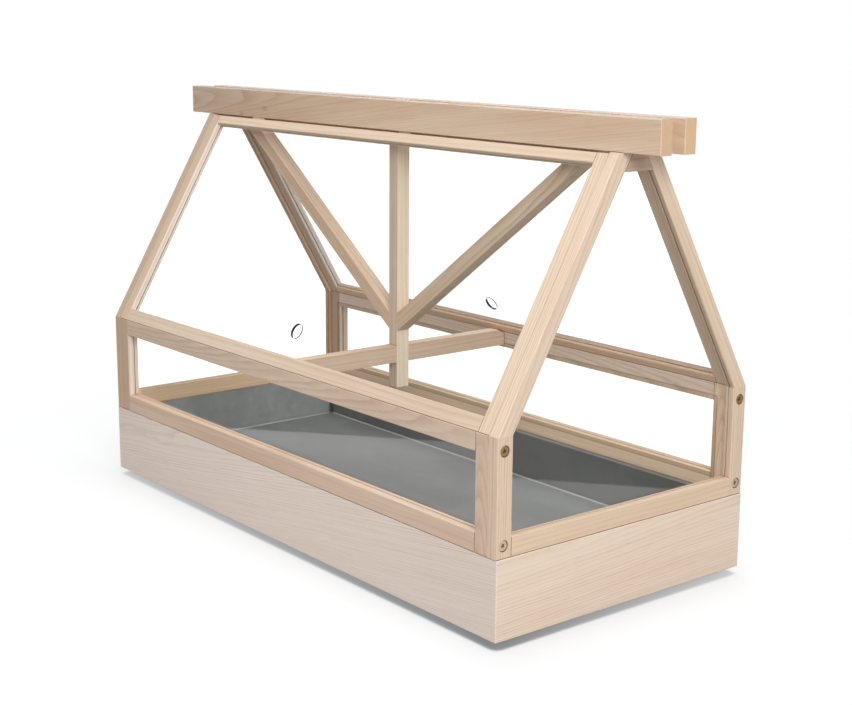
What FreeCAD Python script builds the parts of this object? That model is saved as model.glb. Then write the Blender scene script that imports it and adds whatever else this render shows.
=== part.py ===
import FreeCAD, Part
import os
import Sketcher

# Wooden mini greenhouse: a glazed ash house on a mitred box that holds a sheet metal tray.
# X runs along the ridge, +Y to the back, +Z up. The origin is on the table under the centre.

SIZES = (
    ("BaseLength", 706),
    ("BaseDepth", 330),
    ("BaseHeight", 78),
    ("BoardThick", 22),
    ("CornerBreak", 0.8),
    ("FootHeight", 8),
    ("FootRadius", 14),
    ("BlockSide", 38),
    ("PanelThick", 6),
    ("PanelUnderside", 20),
    ("PanelGroove", 5),
    ("SheetThick", 1),
    ("TrayLength", 658),
    ("TrayDepth", 282),
    ("TrayFloorTop", 27),
    ("TrayFlange", 7),
    ("TrayBend", 2),
    ("TraySeam", 0.6),
    ("PegRadius", 3),
    ("PegHeight", 16),
    ("PegInset", 60),
    ("PegClearance", 0.3),
    ("HouseLength", 704),
    ("HouseDepth", 330),
    ("PostHeight", 112),
    ("PostWidth", 18),
    ("GableThick", 12),
    ("LongFrameThick", 15),
    ("RailWidth", 18),
    ("SillWidth", 19),
    ("RoofPitch", 60),
    ("ApexBlockHeight", 17.5),
    ("BeamLength", 796),
    ("BeamHeight", 32),
    ("BeamThick", 14.5),
    ("BeamGap", 16.5),
    ("TongueRise", 16),
    ("SashThick", 12.5),
    ("SashStile", 15),
    ("SashTopRail", 10.5),
    ("SashBottomRail", 15.5),
    ("SashSideGap", 0.4),
    ("SashFootGap", 0.3),
    ("SashTopGap", 1),
    ("GlassThick", 3),
    ("GlassSetback", 1.4),
    ("GrooveDepth", 5),
    ("GlassEntry", 4),
    ("FingerHoleRadius", 8.5),
    ("FingerHoleRise", 44.5),
    ("TenonThick", 4),
    ("TenonLength", 6),
    ("TenonShoulder", 2.5),
    ("KingPostLength", 14),
    ("KingPostBottom", 67),
    ("KingPostBevel", 1.5),
    ("TieUnderside", 97),
    ("TieHeight", 18.5),
    ("TieBevel", 5.5),
    ("TieTenonHeight", 8),
    ("TieTenonDrop", 1),
    ("BraceDepth", 16),
    ("BracePitch", 35.8),
    ("BraceFootTop", 152),
    ("BraceRise", 16),
    ("BraceTenon", 4),
    ("BraceShoulder", 3),
    ("PinRadius", 2),
    ("PinBite", 8),
    ("PinInset", 6),
    ("PinClearance", 0.06),
    ("PinEndPlay", 0.5),
    ("BoltHeadRadius", 4.8),
    ("BoltHeadHeight", 2.6),
    ("BoltShankRadius", 2.5),
    ("BoltLength", 18),
    ("BoltSocket", 4),
    ("BoltSocketDepth", 2),
    ("BoltRecessRadius", 5.5),
    ("BoltRecessDepth", 3.6),
    ("BoltInset", 8.5),
    ("BoltUpper", 99),
    ("BoltLower", 12),
    ("DowelRadius", 2.5),
    ("DowelInset", 10.5),
    ("DowelAbove", 9),
    ("DowelBelow", 4.5),
    ("Arris", 0.6),
    ("Overcut", 1),
)

# Expressions that several pieces share, in the names of the sheet
BASE_TOP = "(Sizes.FootHeight + Sizes.BaseHeight)"
POST_INNER = "(Sizes.HouseDepth / 2 - Sizes.PostWidth)"
GABLE_INNER = "(Sizes.HouseLength / 2 - Sizes.GableThick)"
FRAME_LINE = "(Sizes.HouseDepth / 2 - Sizes.LongFrameThick / 2)"
GLASS_PLANE = "-Sizes.GlassSetback"
BOLT_LINE = "(Sizes.HouseDepth / 2 - Sizes.BoltInset)"
ROOF_RISE = f"(({POST_INNER} - Sizes.BeamGap / 2) * tan(Sizes.RoofPitch))"
RIDGE_UNDERSIDE = f"(Sizes.PostHeight + {ROOF_RISE})"
RIDGE_TOP = f"({RIDGE_UNDERSIDE} + Sizes.BeamHeight)"
SASH_LENGTH = f"(({ROOF_RISE} - Sizes.SashTopGap) / sin(Sizes.RoofPitch))"
SASH_HALF = f"({GABLE_INNER} - Sizes.SashSideGap)"
SASH_INNER = f"({SASH_HALF} - Sizes.SashStile)"
SASH_EDGE = "(Sizes.SashFootGap / sin(Sizes.RoofPitch))"
TIE_TENON_LOW = "(Sizes.TieUnderside + Sizes.TieHeight / 2 - Sizes.TieTenonHeight / 2 - Sizes.TieTenonDrop)"
BRACE_FOOT = "(Sizes.BraceFootTop - Sizes.BraceDepth / cos(Sizes.BracePitch))"
SIDES = (("", 1), ("-", -1))

doc = FreeCAD.newDocument("MiniGreenhouse")
sheet = doc.addObject("Spreadsheet::Sheet", "Sizes")
for row, (alias, amount) in enumerate(SIZES, start=1):
    sheet.set(f"A{row}", alias)
    sheet.set(f"B{row}", str(amount))
    sheet.setAlias(f"B{row}", alias)
doc.recompute()

bodies = []


def value(expression):
    """Return what an expression in the sheet's names comes to, in millimetres or degrees."""
    return float(sheet.evalExpression(expression))


# Directions of the frames. A gable's outline is drawn in depth and height, a long frame's in length
# and height, a sash's in length and up the slope, and the outer face is always the local +Z.
UPRIGHT = FreeCAD.Rotation()
HALF_TURN = FreeCAD.Rotation(FreeCAD.Vector(0, 0, 1), 180)
GABLE_TURN = FreeCAD.Rotation(FreeCAD.Vector(1, 1, 1), 120)
FRAME_TURN = FreeCAD.Rotation(FreeCAD.Vector(1, 0, 0), 90)
SASH_TURN = FreeCAD.Rotation(FreeCAD.Vector(1, 0, 0), value("Sizes.RoofPitch"))


def new_body(label, turn=UPRIGHT, across=0, deep=0, up=0, half_turned=False, compound=False):
    """Start a sub-part at its place, or at that place turned to the greenhouse's other side."""
    body = doc.addObject("PartDesign::Body", label)
    body.Label = label
    body.AllowCompound = compound
    place = FreeCAD.Placement(FreeCAD.Vector(across, deep, up), turn)
    if half_turned:
        place = FreeCAD.Placement(FreeCAD.Vector(), HALF_TURN).multiply(place)
    body.Placement = place
    bodies.append(body)
    return body


def origin_plane(body, role):
    """Find one of the body's own origin planes."""
    return next(item for item in body.Origin.OriginFeatures if item.Role == role)


def new_sketch(body, name, plane="XY_Plane", offset=None):
    """Start a sketch on an origin plane, lifted off it by an expression where one is given."""
    sketch = body.newObject("Sketcher::SketchObject", f"{body.Label}_{name}_sketch")
    sketch.AttachmentSupport = [(origin_plane(body, plane), "")]
    sketch.MapMode = "FlatFace"
    if offset:
        sketch.setExpression(".AttachmentOffset.Base.z", offset)
    return sketch


def fix_point(sketch, geometry, position, across, up):
    """Fix one point of a sketch by its two distances from the sketch's origin."""
    for kind, expression in (("DistanceX", across), ("DistanceY", up)):
        rule = Sketcher.Constraint(kind, -1, 1, geometry, position, value(expression))
        number = sketch.addConstraint(rule)
        sketch.setExpression(f"Constraints[{number}]", expression)


def add_polygon(sketch, corners):
    """Add a closed outline whose corners are pairs of expressions."""
    points = [FreeCAD.Vector(value(across), value(up), 0) for across, up in corners]
    first = sketch.GeometryCount
    for start, end in zip(points, points[1:] + points[:1]):
        sketch.addGeometry(Part.LineSegment(start, end), False)
    for index, (across, up) in enumerate(corners):
        following = first + (index + 1) % len(corners)
        sketch.addConstraint(Sketcher.Constraint("Coincident", first + index, 2, following, 1))
        fix_point(sketch, first + index, 1, across, up)


def add_circle(sketch, across, up, radius):
    """Add a circle whose centre and radius are expressions."""
    centre = FreeCAD.Vector(value(across), value(up), 0)
    circle = Part.Circle(centre, FreeCAD.Vector(0, 0, 1), value(radius))
    number = sketch.addGeometry(circle, False)
    fix_point(sketch, number, 3, across, up)
    rule = sketch.addConstraint(Sketcher.Constraint("Radius", number, value(radius)))
    sketch.setExpression(f"Constraints[{rule}]", radius)


def extrude(kind, sketch, length, side="Symmetric", reverse=False):
    """Pad or pocket a sketch in its body by an expression, and test that the volume changed."""
    body = sketch.getParentGeoFeatureGroup()
    doc.recompute()
    before = body.Shape.Volume if body.Tip else 0
    feature = body.newObject(f"PartDesign::{kind}", sketch.Name.replace("sketch", kind.lower()))
    feature.Profile = sketch
    feature.SideType = side
    feature.Reversed = reverse
    feature.setExpression("Length", length)
    body.Tip = feature
    doc.recompute()
    grown = body.Shape.Volume > before
    if grown != (kind == "Pad") or body.Shape.Volume == before:
        raise RuntimeError(f"{feature.Name} did not change {body.Label} as it should")
    return feature


def outline(kind, body, name, polygons, thickness, plane="XY_Plane", offset=None):
    """Pad or pocket outlines, each a list of corners, evenly to both sides of a plane."""
    sketch = new_sketch(body, name, plane, offset)
    for corners in polygons:
        add_polygon(sketch, corners)
    return extrude(kind, sketch, thickness)


def rounds(kind, body, name, centres, radius, length, plane="XY_Plane", offset=None, **sides):
    """Pad or pocket circles of one radius."""
    sketch = new_sketch(body, name, plane, offset)
    for across, up in centres:
        add_circle(sketch, across, up, radius)
    return extrude(kind, sketch, length, **sides)


def dress(body, kind, name, chosen, rule, size):
    """Chamfer or fillet the edges of a body that a test chooses, by an expression."""
    tip = body.Tip
    edges = enumerate(tip.Shape.Edges, start=1)
    names = [f"Edge{number}" for number, edge in edges if chosen(edge)]
    if not names:
        raise RuntimeError(f"{body.Label} has no edge to work on")
    feature = body.newObject(f"PartDesign::{kind}", f"{body.Label}_{name}")
    feature.Base = (tip, names)
    feature.setExpression(rule, size)
    body.Tip = feature
    doc.recompute()


def is_level(edge, height):
    """Tell whether an edge lies wholly at a height of its body."""
    return all(abs(limit - height) < 0.01 for limit in (edge.BoundBox.ZMin, edge.BoundBox.ZMax))


def chamfer(body, lines, size="Sizes.Arris"):
    """Break the edges that lie along lines, each given by two points of three expressions."""
    ends = [[FreeCAD.Vector(*(value(part) for part in point)) for point in line] for line in lines]

    def is_on_line(edge):
        for start, end in ends:
            along = (end - start).normalize()
            gaps = [(vertex.Point - start).cross(along).Length for vertex in edge.Vertexes]
            if len(gaps) == 2 and max(gaps) < 0.01:
                return True
        return False

    dress(body, "Chamfer", "arris", is_on_line, "Size", size)


def arrises(corners, picks, thickness):
    """Give the lines of a member's long edges.

    Each pick is the number of an edge of the outline and the faces: "" the outer one, "-" the inner.
    """
    lines = []
    for index, faces in picks:
        ends = (corners[index], corners[(index + 1) % len(corners)])
        lines += [[(*end, f"{face}{thickness} / 2") for end in ends] for face in faces]
    return lines


def mirror(body, plane):
    """Repeat all that the body holds on the other side of an origin plane."""
    feature = body.newObject("PartDesign::Mirrored", f"{body.Label}_{plane}_mirror")
    feature.MirrorPlane = (origin_plane(body, plane), [""])
    feature.TransformMode = "Whole shape"
    body.Tip = feature
    doc.recompute()


def rectangle(left, right, low, high):
    """Return the four corners of an upright rectangle."""
    return [(left, low), (right, low), (right, high), (left, high)]


BOTH = ("", "-")
OUTER = ("",)


# Base box
def base_board(label, length, offset, turn):
    """Make a mitred board, drawn on plan with its outer face along X, grooved for the panel."""
    half = f"({length} / 2)"
    inner = f"({length} / 2 - Sizes.BoardThick)"
    corners = [
        (f"-{half} + Sizes.CornerBreak", "0"),
        (f"{half} - Sizes.CornerBreak", "0"),
        (f"{half} - Sizes.CornerBreak / 2", "Sizes.CornerBreak / 2"),
        (inner, "Sizes.BoardThick"),
        (f"-{inner}", "Sizes.BoardThick"),
        (f"-{half} + Sizes.CornerBreak / 2", "Sizes.CornerBreak / 2"),
    ]
    body = new_body(label)
    place = FreeCAD.Vector(0, -value(offset), value("Sizes.FootHeight + Sizes.BaseHeight / 2"))
    turned = FreeCAD.Placement(FreeCAD.Vector(), turn)
    body.Placement = turned.multiply(FreeCAD.Placement(place, UPRIGHT))
    outline("Pad", body, "board", [corners], "Sizes.BaseHeight")
    low = "(Sizes.PanelUnderside - Sizes.BaseHeight / 2)"
    depth = "Sizes.BoardThick - Sizes.PanelGroove"
    groove = rectangle(depth, "Sizes.BoardThick + Sizes.Overcut", low, f"{low} + Sizes.PanelThick")
    outline("Pocket", body, "panel_groove", [groove], length, "YZ_Plane")
    chamfer(body, arrises(corners, [(0, BOTH)], "Sizes.BaseHeight"), "Sizes.CornerBreak")
    return body


def peg_centres(up):
    """Return the centres of two pegs along a long board."""
    return [(f"{sign}(Sizes.BaseLength / 2 - Sizes.PegInset)", up) for sign, _ in SIDES]


def base_box():
    """Make four mitred boards, with peg holes in the long ones."""
    half_length = "Sizes.BaseLength / 2"
    half_depth = "Sizes.BaseDepth / 2"
    quarter = FreeCAD.Rotation(FreeCAD.Vector(0, 0, 1), 90)
    for label, turn in (("base_front_board", UPRIGHT), ("base_back_board", HALF_TURN)):
        body = base_board(label, "Sizes.BaseLength", half_depth, turn)
        centres = peg_centres("Sizes.LongFrameThick / 2")
        top = "Sizes.BaseHeight / 2"
        rounds("Pocket", body, "pegs", centres, "Sizes.PegRadius", "Sizes.PegHeight", offset=top)
    base_board("base_right_board", "Sizes.BaseDepth", half_length, quarter)
    base_board("base_left_board", "Sizes.BaseDepth", half_length, quarter.inverted())


def bottom_panel():
    """Make the panel that sits in the boards' grooves with a little play."""
    inset = "(Sizes.BoardThick - Sizes.PanelGroove + Sizes.Overcut)"
    across = f"(Sizes.BaseLength / 2 - {inset})"
    deep = f"(Sizes.BaseDepth / 2 - {inset})"
    middle = value("Sizes.FootHeight + Sizes.PanelUnderside + Sizes.PanelThick / 2")
    body = new_body("bottom_panel", up=middle)
    panel = rectangle(f"-{across}", across, f"-{deep}", deep)
    outline("Pad", body, "panel", [panel], "Sizes.PanelThick")


def corner_blocks():
    """Make the glue blocks behind the mitres, each with its free corner cut off."""
    outer = ("(Sizes.BaseLength / 2 - Sizes.BoardThick)", "(Sizes.BaseDepth / 2 - Sizes.BoardThick)")
    near = [f"({wall} - Sizes.BlockSide)" for wall in outer]
    cut = [f"({wall} - Sizes.BlockSide / 2)" for wall in outer]
    names = {1: ("right", "back"), -1: ("left", "front")}
    for sign_x, side_x in SIDES:
        for sign_y, side_y in SIDES:
            points = [
                (outer[0], outer[1]),
                (near[0], outer[1]),
                (near[0], cut[1]),
                (cut[0], near[1]),
                (outer[0], near[1]),
            ]
            corners = [(f"{sign_x}{across}", f"{sign_y}{deep}") for across, deep in points]
            label = f"{names[side_y][1]}_{names[side_x][0]}_corner_block"
            body = new_body(label, up=value("Sizes.FootHeight + Sizes.PanelUnderside / 2"))
            outline("Pad", body, "block", [corners], "Sizes.PanelUnderside")


def feet():
    """Make four round feet under the corner blocks, their lower rims bevelled."""
    body = new_body("feet", compound=True)
    inset = "(Sizes.BoardThick + Sizes.BlockSide / 2)"
    centre = (f"Sizes.BaseLength / 2 - {inset}", f"Sizes.BaseDepth / 2 - {inset}")
    rounds("Pad", body, "foot", [centre], "Sizes.FootRadius", "Sizes.FootHeight", side="One side")
    dress(body, "Chamfer", "rim", lambda edge: is_level(edge, 0), "Size", "Sizes.Arris * 2")
    mirror(body, "YZ_Plane")
    mirror(body, "XZ_Plane")


def locating_pegs():
    """Make the four pegs that stand half in the long boards and place the house."""
    body = new_body("locating_pegs", up=value(BASE_TOP), compound=True)
    centre = ("Sizes.BaseLength / 2 - Sizes.PegInset", FRAME_LINE)
    rounds("Pad", body, "peg", [centre], "Sizes.PegRadius", "Sizes.PegHeight")
    mirror(body, "YZ_Plane")
    mirror(body, "XZ_Plane")


def plant_tray():
    """Make the folded tray: walls and floor of one sheet, a flange, and a seam at each corner."""
    body = new_body("plant_tray", up=value("Sizes.FootHeight + Sizes.TrayFloorTop"))
    wall = "(Sizes.BaseHeight - Sizes.TrayFloorTop)"
    sheet_x = "(Sizes.TrayLength / 2 + Sizes.SheetThick)"
    sheet_y = "(Sizes.TrayDepth / 2 + Sizes.SheetThick)"
    outside = rectangle(f"-{sheet_x}", sheet_x, f"-{sheet_y}", sheet_y)
    bottom = new_sketch(body, "shell", offset="-Sizes.SheetThick")
    add_polygon(bottom, outside)
    extrude("Pad", bottom, f"{wall} + Sizes.SheetThick * 2", "One side")
    flange = new_sketch(body, "flange", offset=wall)
    reach_x = f"({sheet_x} + Sizes.TrayFlange)"
    reach_y = f"({sheet_y} + Sizes.TrayFlange)"
    add_polygon(flange, rectangle(f"-{reach_x}", reach_x, f"-{reach_y}", reach_y))
    extrude("Pad", flange, "Sizes.SheetThick", "One side")
    hollow = new_sketch(body, "hollow")
    inside_x = "Sizes.TrayLength / 2"
    inside_y = "Sizes.TrayDepth / 2"
    add_polygon(hollow, rectangle(f"-{inside_x}", inside_x, f"-{inside_y}", inside_y))
    extrude("Pocket", hollow, f"{wall} + Sizes.SheetThick + Sizes.Overcut", "One side", True)
    under = -value("Sizes.SheetThick")
    outside_bend = "Sizes.TrayBend + Sizes.SheetThick"
    dress(body, "Fillet", "inner_bend", lambda edge: is_level(edge, 0), "Radius", "Sizes.TrayBend")
    dress(body, "Fillet", "outer_bend", lambda edge: is_level(edge, under), "Radius", outside_bend)
    seam_tray(body, wall)


def seam_tray(body, wall):
    """Slit each corner on the mitre, from the bend up through the flange."""
    half = "(Sizes.TraySeam / 2)"
    near = ("(Sizes.TrayLength / 2 - Sizes.TraySeam)", "(Sizes.TrayDepth / 2 - Sizes.TraySeam)")
    far = [f"({inner} + Sizes.TrayFlange + Sizes.SheetThick * 3)" for inner in near]
    polygons = []
    for sign_x, _ in SIDES:
        for sign_y, _ in SIDES:
            points = [
                (f"{near[0]} + {half}", f"{near[1]} - {half}"),
                (f"{far[0]} + {half}", f"{far[1]} - {half}"),
                (f"{far[0]} - {half}", f"{far[1]} + {half}"),
                (f"{near[0]} - {half}", f"{near[1]} + {half}"),
            ]
            polygons.append([(f"{sign_x}({a})", f"{sign_y}({b})") for a, b in points])
    sketch = new_sketch(body, "seams", offset="Sizes.TrayBend + Sizes.SheetThick")
    for corners in polygons:
        add_polygon(sketch, corners)
    extrude("Pocket", sketch, wall, "One side", True)


# House: glazed frames
def line_thickness(name):
    """Return the thickness of what lies in the plane of the glass: glass and groove, or a tenon."""
    return "Sizes.GlassThick" if name in ("groove", "pane") else "Sizes.TenonThick"


def add_line(name, body, polygons):
    """Pad tenons or a pane in the plane of the glass, behind the middle of its frame."""
    outline("Pad", body, name, polygons, line_thickness(name), offset=GLASS_PLANE)


def cut_line(name, body, polygons):
    """Pocket a groove or mortises in the plane of the glass, behind the middle of the frame."""
    outline("Pocket", body, name, polygons, line_thickness(name), offset=GLASS_PLANE)


def tenon(left, right, low, high, root="Sizes.Overcut"):
    """Return a stub tenon that grows from a member's end and reaches a little back into it."""
    return rectangle(f"{left} - {root}", right, low, high)


def signed(sign, corners):
    """Return corners with their first distance mirrored where the sign is a minus."""
    return [(f"{sign}({across})", up) for across, up in corners]


SILL_TENON = ("Sizes.TenonShoulder", "Sizes.SillWidth - Sizes.GrooveDepth")
HEAD_TENON = (
    "Sizes.PostHeight - Sizes.RailWidth + Sizes.GrooveDepth",
    "Sizes.PostHeight - Sizes.TenonShoulder",
)


def long_frame(name, half_turned):
    """Make one glazed long frame between the gables, all its joints stub tenons."""
    deep = -value(FRAME_LINE)
    inner = f"({GABLE_INNER} - Sizes.RailWidth)"
    reach = f"({inner} + Sizes.TenonLength)"

    def start(part):
        return new_body(f"{name}_{part}", FRAME_TURN, 0, deep, value(BASE_TOP), half_turned)

    for sign, side in SIDES:
        label = "right_stile" if (side > 0) != half_turned else "left_stile"
        body = start(label)
        corners = signed(sign, rectangle(inner, GABLE_INNER, "0", "Sizes.PostHeight"))
        outline("Pad", body, "stile", [corners], "Sizes.LongFrameThick")
        groove = rectangle(
            f"{inner} - Sizes.Overcut",
            f"{inner} + Sizes.GrooveDepth",
            SILL_TENON[1],
            HEAD_TENON[0],
        )
        cut_line("groove", body, [signed(sign, groove)])
        mortises = [signed(sign, tenon(inner, reach, *span)) for span in (SILL_TENON, HEAD_TENON)]
        cut_line("mortises", body, mortises)
        bolt_depth = "Sizes.LongFrameThick / 2 - Sizes.BoltInset"
        bite = "2 * (Sizes.BoltLength - Sizes.GableThick + Sizes.BoltRecessDepth)"
        sketch = new_sketch(body, "bolt_holes", "YZ_Plane", f"{sign}{GABLE_INNER}")
        for height in ("Sizes.BoltUpper", "Sizes.BoltLower"):
            add_circle(sketch, height, bolt_depth, "Sizes.BoltShankRadius")
        extrude("Pocket", sketch, bite)
        picks = [(0, OUTER), (2, OUTER), (3, BOTH)]
        chamfer(body, arrises(corners, picks, "Sizes.LongFrameThick"))

    rails = (
        ("bottom_rail", "0", "Sizes.SillWidth", SILL_TENON, 2),
        ("top_rail", "Sizes.PostHeight - Sizes.RailWidth", "Sizes.PostHeight", HEAD_TENON, 0),
    )
    for label, low, high, span, glass_edge in rails:
        body = start(label)
        corners = rectangle(f"-{inner}", inner, low, high)
        outline("Pad", body, "rail", [corners], "Sizes.LongFrameThick")
        tenons = [signed(sign, tenon(inner, reach, *span)) for sign, _ in SIDES]
        add_line("tenons", body, tenons)
        bed = (span[1], f"{high} + Sizes.Overcut") if glass_edge else (f"{low} - Sizes.Overcut", span[0])
        groove = rectangle(f"-{inner} - Sizes.Overcut", f"{inner} + Sizes.Overcut", *bed)
        cut_line("groove", body, [groove])
        if glass_edge:
            sketch = new_sketch(body, "peg_holes", "XZ_Plane")
            for across, up in peg_centres("0"):
                add_circle(sketch, across, up, "Sizes.PegRadius + Sizes.PegClearance")
            extrude("Pocket", sketch, "Sizes.PegHeight + Sizes.Overcut * 2")
        else:
            tie = rectangle(
                "-Sizes.TenonThick / 2",
                "Sizes.TenonThick / 2",
                TIE_TENON_LOW,
                f"{TIE_TENON_LOW} + Sizes.TieTenonHeight",
            )
            face = "-Sizes.LongFrameThick / 2"
            outline("Pocket", body, "tie_mortise", [tie], "Sizes.TenonLength * 2", offset=face)
        picks = [(glass_edge, BOTH), (2 - glass_edge, OUTER)]
        chamfer(body, arrises(corners, picks, "Sizes.LongFrameThick"))

    body = start("pane")
    edge = f"({inner} + Sizes.GlassEntry)"
    head = "Sizes.PostHeight - Sizes.RailWidth + Sizes.GlassEntry"
    pane = rectangle(f"-{edge}", edge, SILL_TENON[1], head)
    add_line("pane", body, [pane])


def slope_point(height, inset="0"):
    """Return the depth of the rafters' inner edge at a height, moved outwards by an inset."""
    return f"({POST_INNER} - ({height} - Sizes.PostHeight) / tan(Sizes.RoofPitch) + {inset})"


def level(distance):
    """Return how far a distance square to the roof's slope measures on the level."""
    return f"({distance} / sin(Sizes.RoofPitch))"


BLOCK_LOW = f"({RIDGE_UNDERSIDE} - Sizes.ApexBlockHeight)"
BLOCK_TENON = (f"({BLOCK_LOW} + Sizes.GrooveDepth)", f"({RIDGE_UNDERSIDE} - Sizes.TenonShoulder)")


def block_tenon(overcut):
    """Return the apex block's slanted tenon, which follows the rafter's inner edge."""
    low, high = BLOCK_TENON
    return [
        (slope_point(low, f"-{overcut}"), low),
        (slope_point(low, level("Sizes.TenonLength")), low),
        (slope_point(high, level("Sizes.TenonLength")), high),
        (slope_point(high, f"-{overcut}"), high),
    ]


def gable_posts(start, sign, side):
    """Make one gable post with its groove, sill mortise and two counterbored bolt holes."""
    body = start(f"{side}_post")
    corners = signed(sign, rectangle(POST_INNER, "Sizes.HouseDepth / 2", "0", "Sizes.PostHeight"))
    outline("Pad", body, "post", [corners], "Sizes.GableThick")
    groove = rectangle(
        f"{POST_INNER} - Sizes.Overcut",
        f"{POST_INNER} + Sizes.GrooveDepth",
        SILL_TENON[1],
        "Sizes.PostHeight",
    )
    cut_line("groove", body, [signed(sign, groove)])
    mortise = tenon(POST_INNER, f"{POST_INNER} + Sizes.TenonLength", *SILL_TENON)
    cut_line("mortise", body, [signed(sign, mortise)])
    dowel = (f"{sign}(Sizes.HouseDepth / 2 - Sizes.DowelInset)", "0")
    sketch = new_sketch(body, "dowel_hole", "XZ_Plane", "-Sizes.PostHeight")
    add_circle(sketch, *dowel, "Sizes.DowelRadius")
    extrude("Pocket", sketch, "Sizes.DowelBelow * 2")
    chamfer(body, arrises(corners, [(0, OUTER), (1, OUTER), (3, BOTH)], "Sizes.GableThick"))
    sketch = new_sketch(body, "bolt_holes", offset="Sizes.GableThick / 2")
    for height in ("Sizes.BoltUpper", "Sizes.BoltLower"):
        add_circle(sketch, f"{sign}{BOLT_LINE}", height, "Sizes.BoltShankRadius")
    doc.recompute()
    hole = body.newObject("PartDesign::Hole", f"{body.Label}_bolt_holes")
    hole.Profile = sketch
    hole.DepthType = "ThroughAll"
    hole.Threaded = False
    hole.setExpression("Diameter", "Sizes.BoltShankRadius * 2")
    hole.HoleCutType = "Counterbore"
    hole.HoleCutCustomValues = True
    hole.setExpression("HoleCutDiameter", "Sizes.BoltRecessRadius * 2")
    hole.setExpression("HoleCutDepth", "Sizes.BoltRecessDepth")
    body.Tip = hole


def gable_rafter(start, sign, side):
    """Make one gable rafter, both ends cut level, with its groove, mortise, dowel and pin holes."""
    body = start(f"{side}_rafter")
    inner = [(slope_point(height), height) for height in ("Sizes.PostHeight", RIDGE_UNDERSIDE)]
    outer = [(f"({across} + Sizes.PostWidth)", height) for across, height in inner]
    corners = signed(sign, [inner[0], outer[0], outer[1], inner[1]])
    outline("Pad", body, "rafter", [corners], "Sizes.GableThick")
    bed = level("Sizes.GrooveDepth")
    groove = [
        (slope_point("Sizes.PostHeight", "-Sizes.Overcut"), "Sizes.PostHeight"),
        (slope_point("Sizes.PostHeight", bed), "Sizes.PostHeight"),
        (slope_point(BLOCK_TENON[0], bed), BLOCK_TENON[0]),
        (slope_point(BLOCK_TENON[0], "-Sizes.Overcut"), BLOCK_TENON[0]),
    ]
    cut_line("groove", body, [signed(sign, groove)])
    mortise = signed(sign, block_tenon("Sizes.Overcut"))
    cut_line("mortise", body, [mortise])
    sketch = new_sketch(body, "dowel_hole", "XZ_Plane", "-Sizes.PostHeight")
    add_circle(sketch, f"{sign}(Sizes.HouseDepth / 2 - Sizes.DowelInset)", "0", "Sizes.DowelRadius")
    extrude("Pocket", sketch, "Sizes.DowelAbove * 2")
    pin = [(f"{sign}{PIN_DEEP}", PIN_UP)]
    face = "-Sizes.GableThick / 2"
    bite = "Sizes.PinBite * 2"
    rounds("Pocket", body, "pin_hole", pin, "Sizes.PinRadius", bite, offset=face)
    chamfer(body, arrises(corners, [(1, OUTER), (3, BOTH)], "Sizes.GableThick"))


PIN_RUN = "(Sizes.HouseDepth / 2 - Sizes.SashThick / 2 * sin(Sizes.RoofPitch))"
PIN_DEEP = f"({PIN_RUN} - ({SASH_LENGTH} - Sizes.PinInset) * cos(Sizes.RoofPitch))"
PIN_DROP = "(Sizes.SashThick / 2 * cos(Sizes.RoofPitch))"
PIN_UP = f"(Sizes.PostHeight - {PIN_DROP} + ({SASH_LENGTH} - Sizes.PinInset) * sin(Sizes.RoofPitch))"


def gable(name, half_turned):
    """Make one gable: posts, rafters, sill, apex block and its pane."""

    def start(part):
        middle = value("Sizes.HouseLength / 2 - Sizes.GableThick / 2")
        return new_body(f"{name}_{part}", GABLE_TURN, middle, 0, value(BASE_TOP), half_turned)

    for sign, side in SIDES:
        label = "back" if (side > 0) != half_turned else "front"
        gable_posts(start, sign, label)
        gable_rafter(start, sign, label)

    body = start("bottom_rail")
    corners = rectangle(f"-{POST_INNER}", POST_INNER, "0", "Sizes.SillWidth")
    outline("Pad", body, "rail", [corners], "Sizes.GableThick")
    reach = f"{POST_INNER} + Sizes.TenonLength"
    tenons = [signed(sign, tenon(POST_INNER, reach, *SILL_TENON)) for sign, _ in SIDES]
    add_line("tenons", body, tenons)
    end = f"{POST_INNER} + Sizes.Overcut"
    bed = rectangle(f"-({end})", end, SILL_TENON[1], "Sizes.SillWidth + Sizes.Overcut")
    cut_line("groove", body, [bed])
    chamfer(body, arrises(corners, [(0, OUTER), (2, BOTH)], "Sizes.GableThick"))

    body = start("apex_block")
    slopes = [(slope_point(height), height) for height in (BLOCK_LOW, RIDGE_UNDERSIDE)]
    rise = f"{RIDGE_UNDERSIDE} + Sizes.TongueRise"
    half = slopes + [("Sizes.BeamGap / 2", rise)]
    corners = half + [(f"-{across}", up) for across, up in reversed(half)]
    outline("Pad", body, "block", [corners], "Sizes.GableThick")
    tenons = [signed(sign, block_tenon("Sizes.Overcut")) for sign, _ in SIDES]
    add_line("tenons", body, tenons)
    wide = slope_point(BLOCK_LOW, "Sizes.Overcut")
    bed = rectangle(f"-{wide}", wide, f"{BLOCK_LOW} - Sizes.Overcut", BLOCK_TENON[0])
    cut_line("groove", body, [bed])
    chamfer(body, arrises(corners, [(len(corners) - 1, BOTH)], "Sizes.GableThick"))

    body = start("pane")
    entry = level("Sizes.GlassEntry")
    kink = f"Sizes.PostHeight + ({entry} - Sizes.GlassEntry) * tan(Sizes.RoofPitch)"
    side = f"({POST_INNER} + Sizes.GlassEntry)"
    head = f"({BLOCK_LOW} + Sizes.GlassEntry)"
    half = [(side, SILL_TENON[1]), (side, kink), (slope_point(head, entry), head)]
    pane = half + [(f"-{across}", up) for across, up in reversed(half)]
    add_line("pane", body, [pane])


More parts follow.
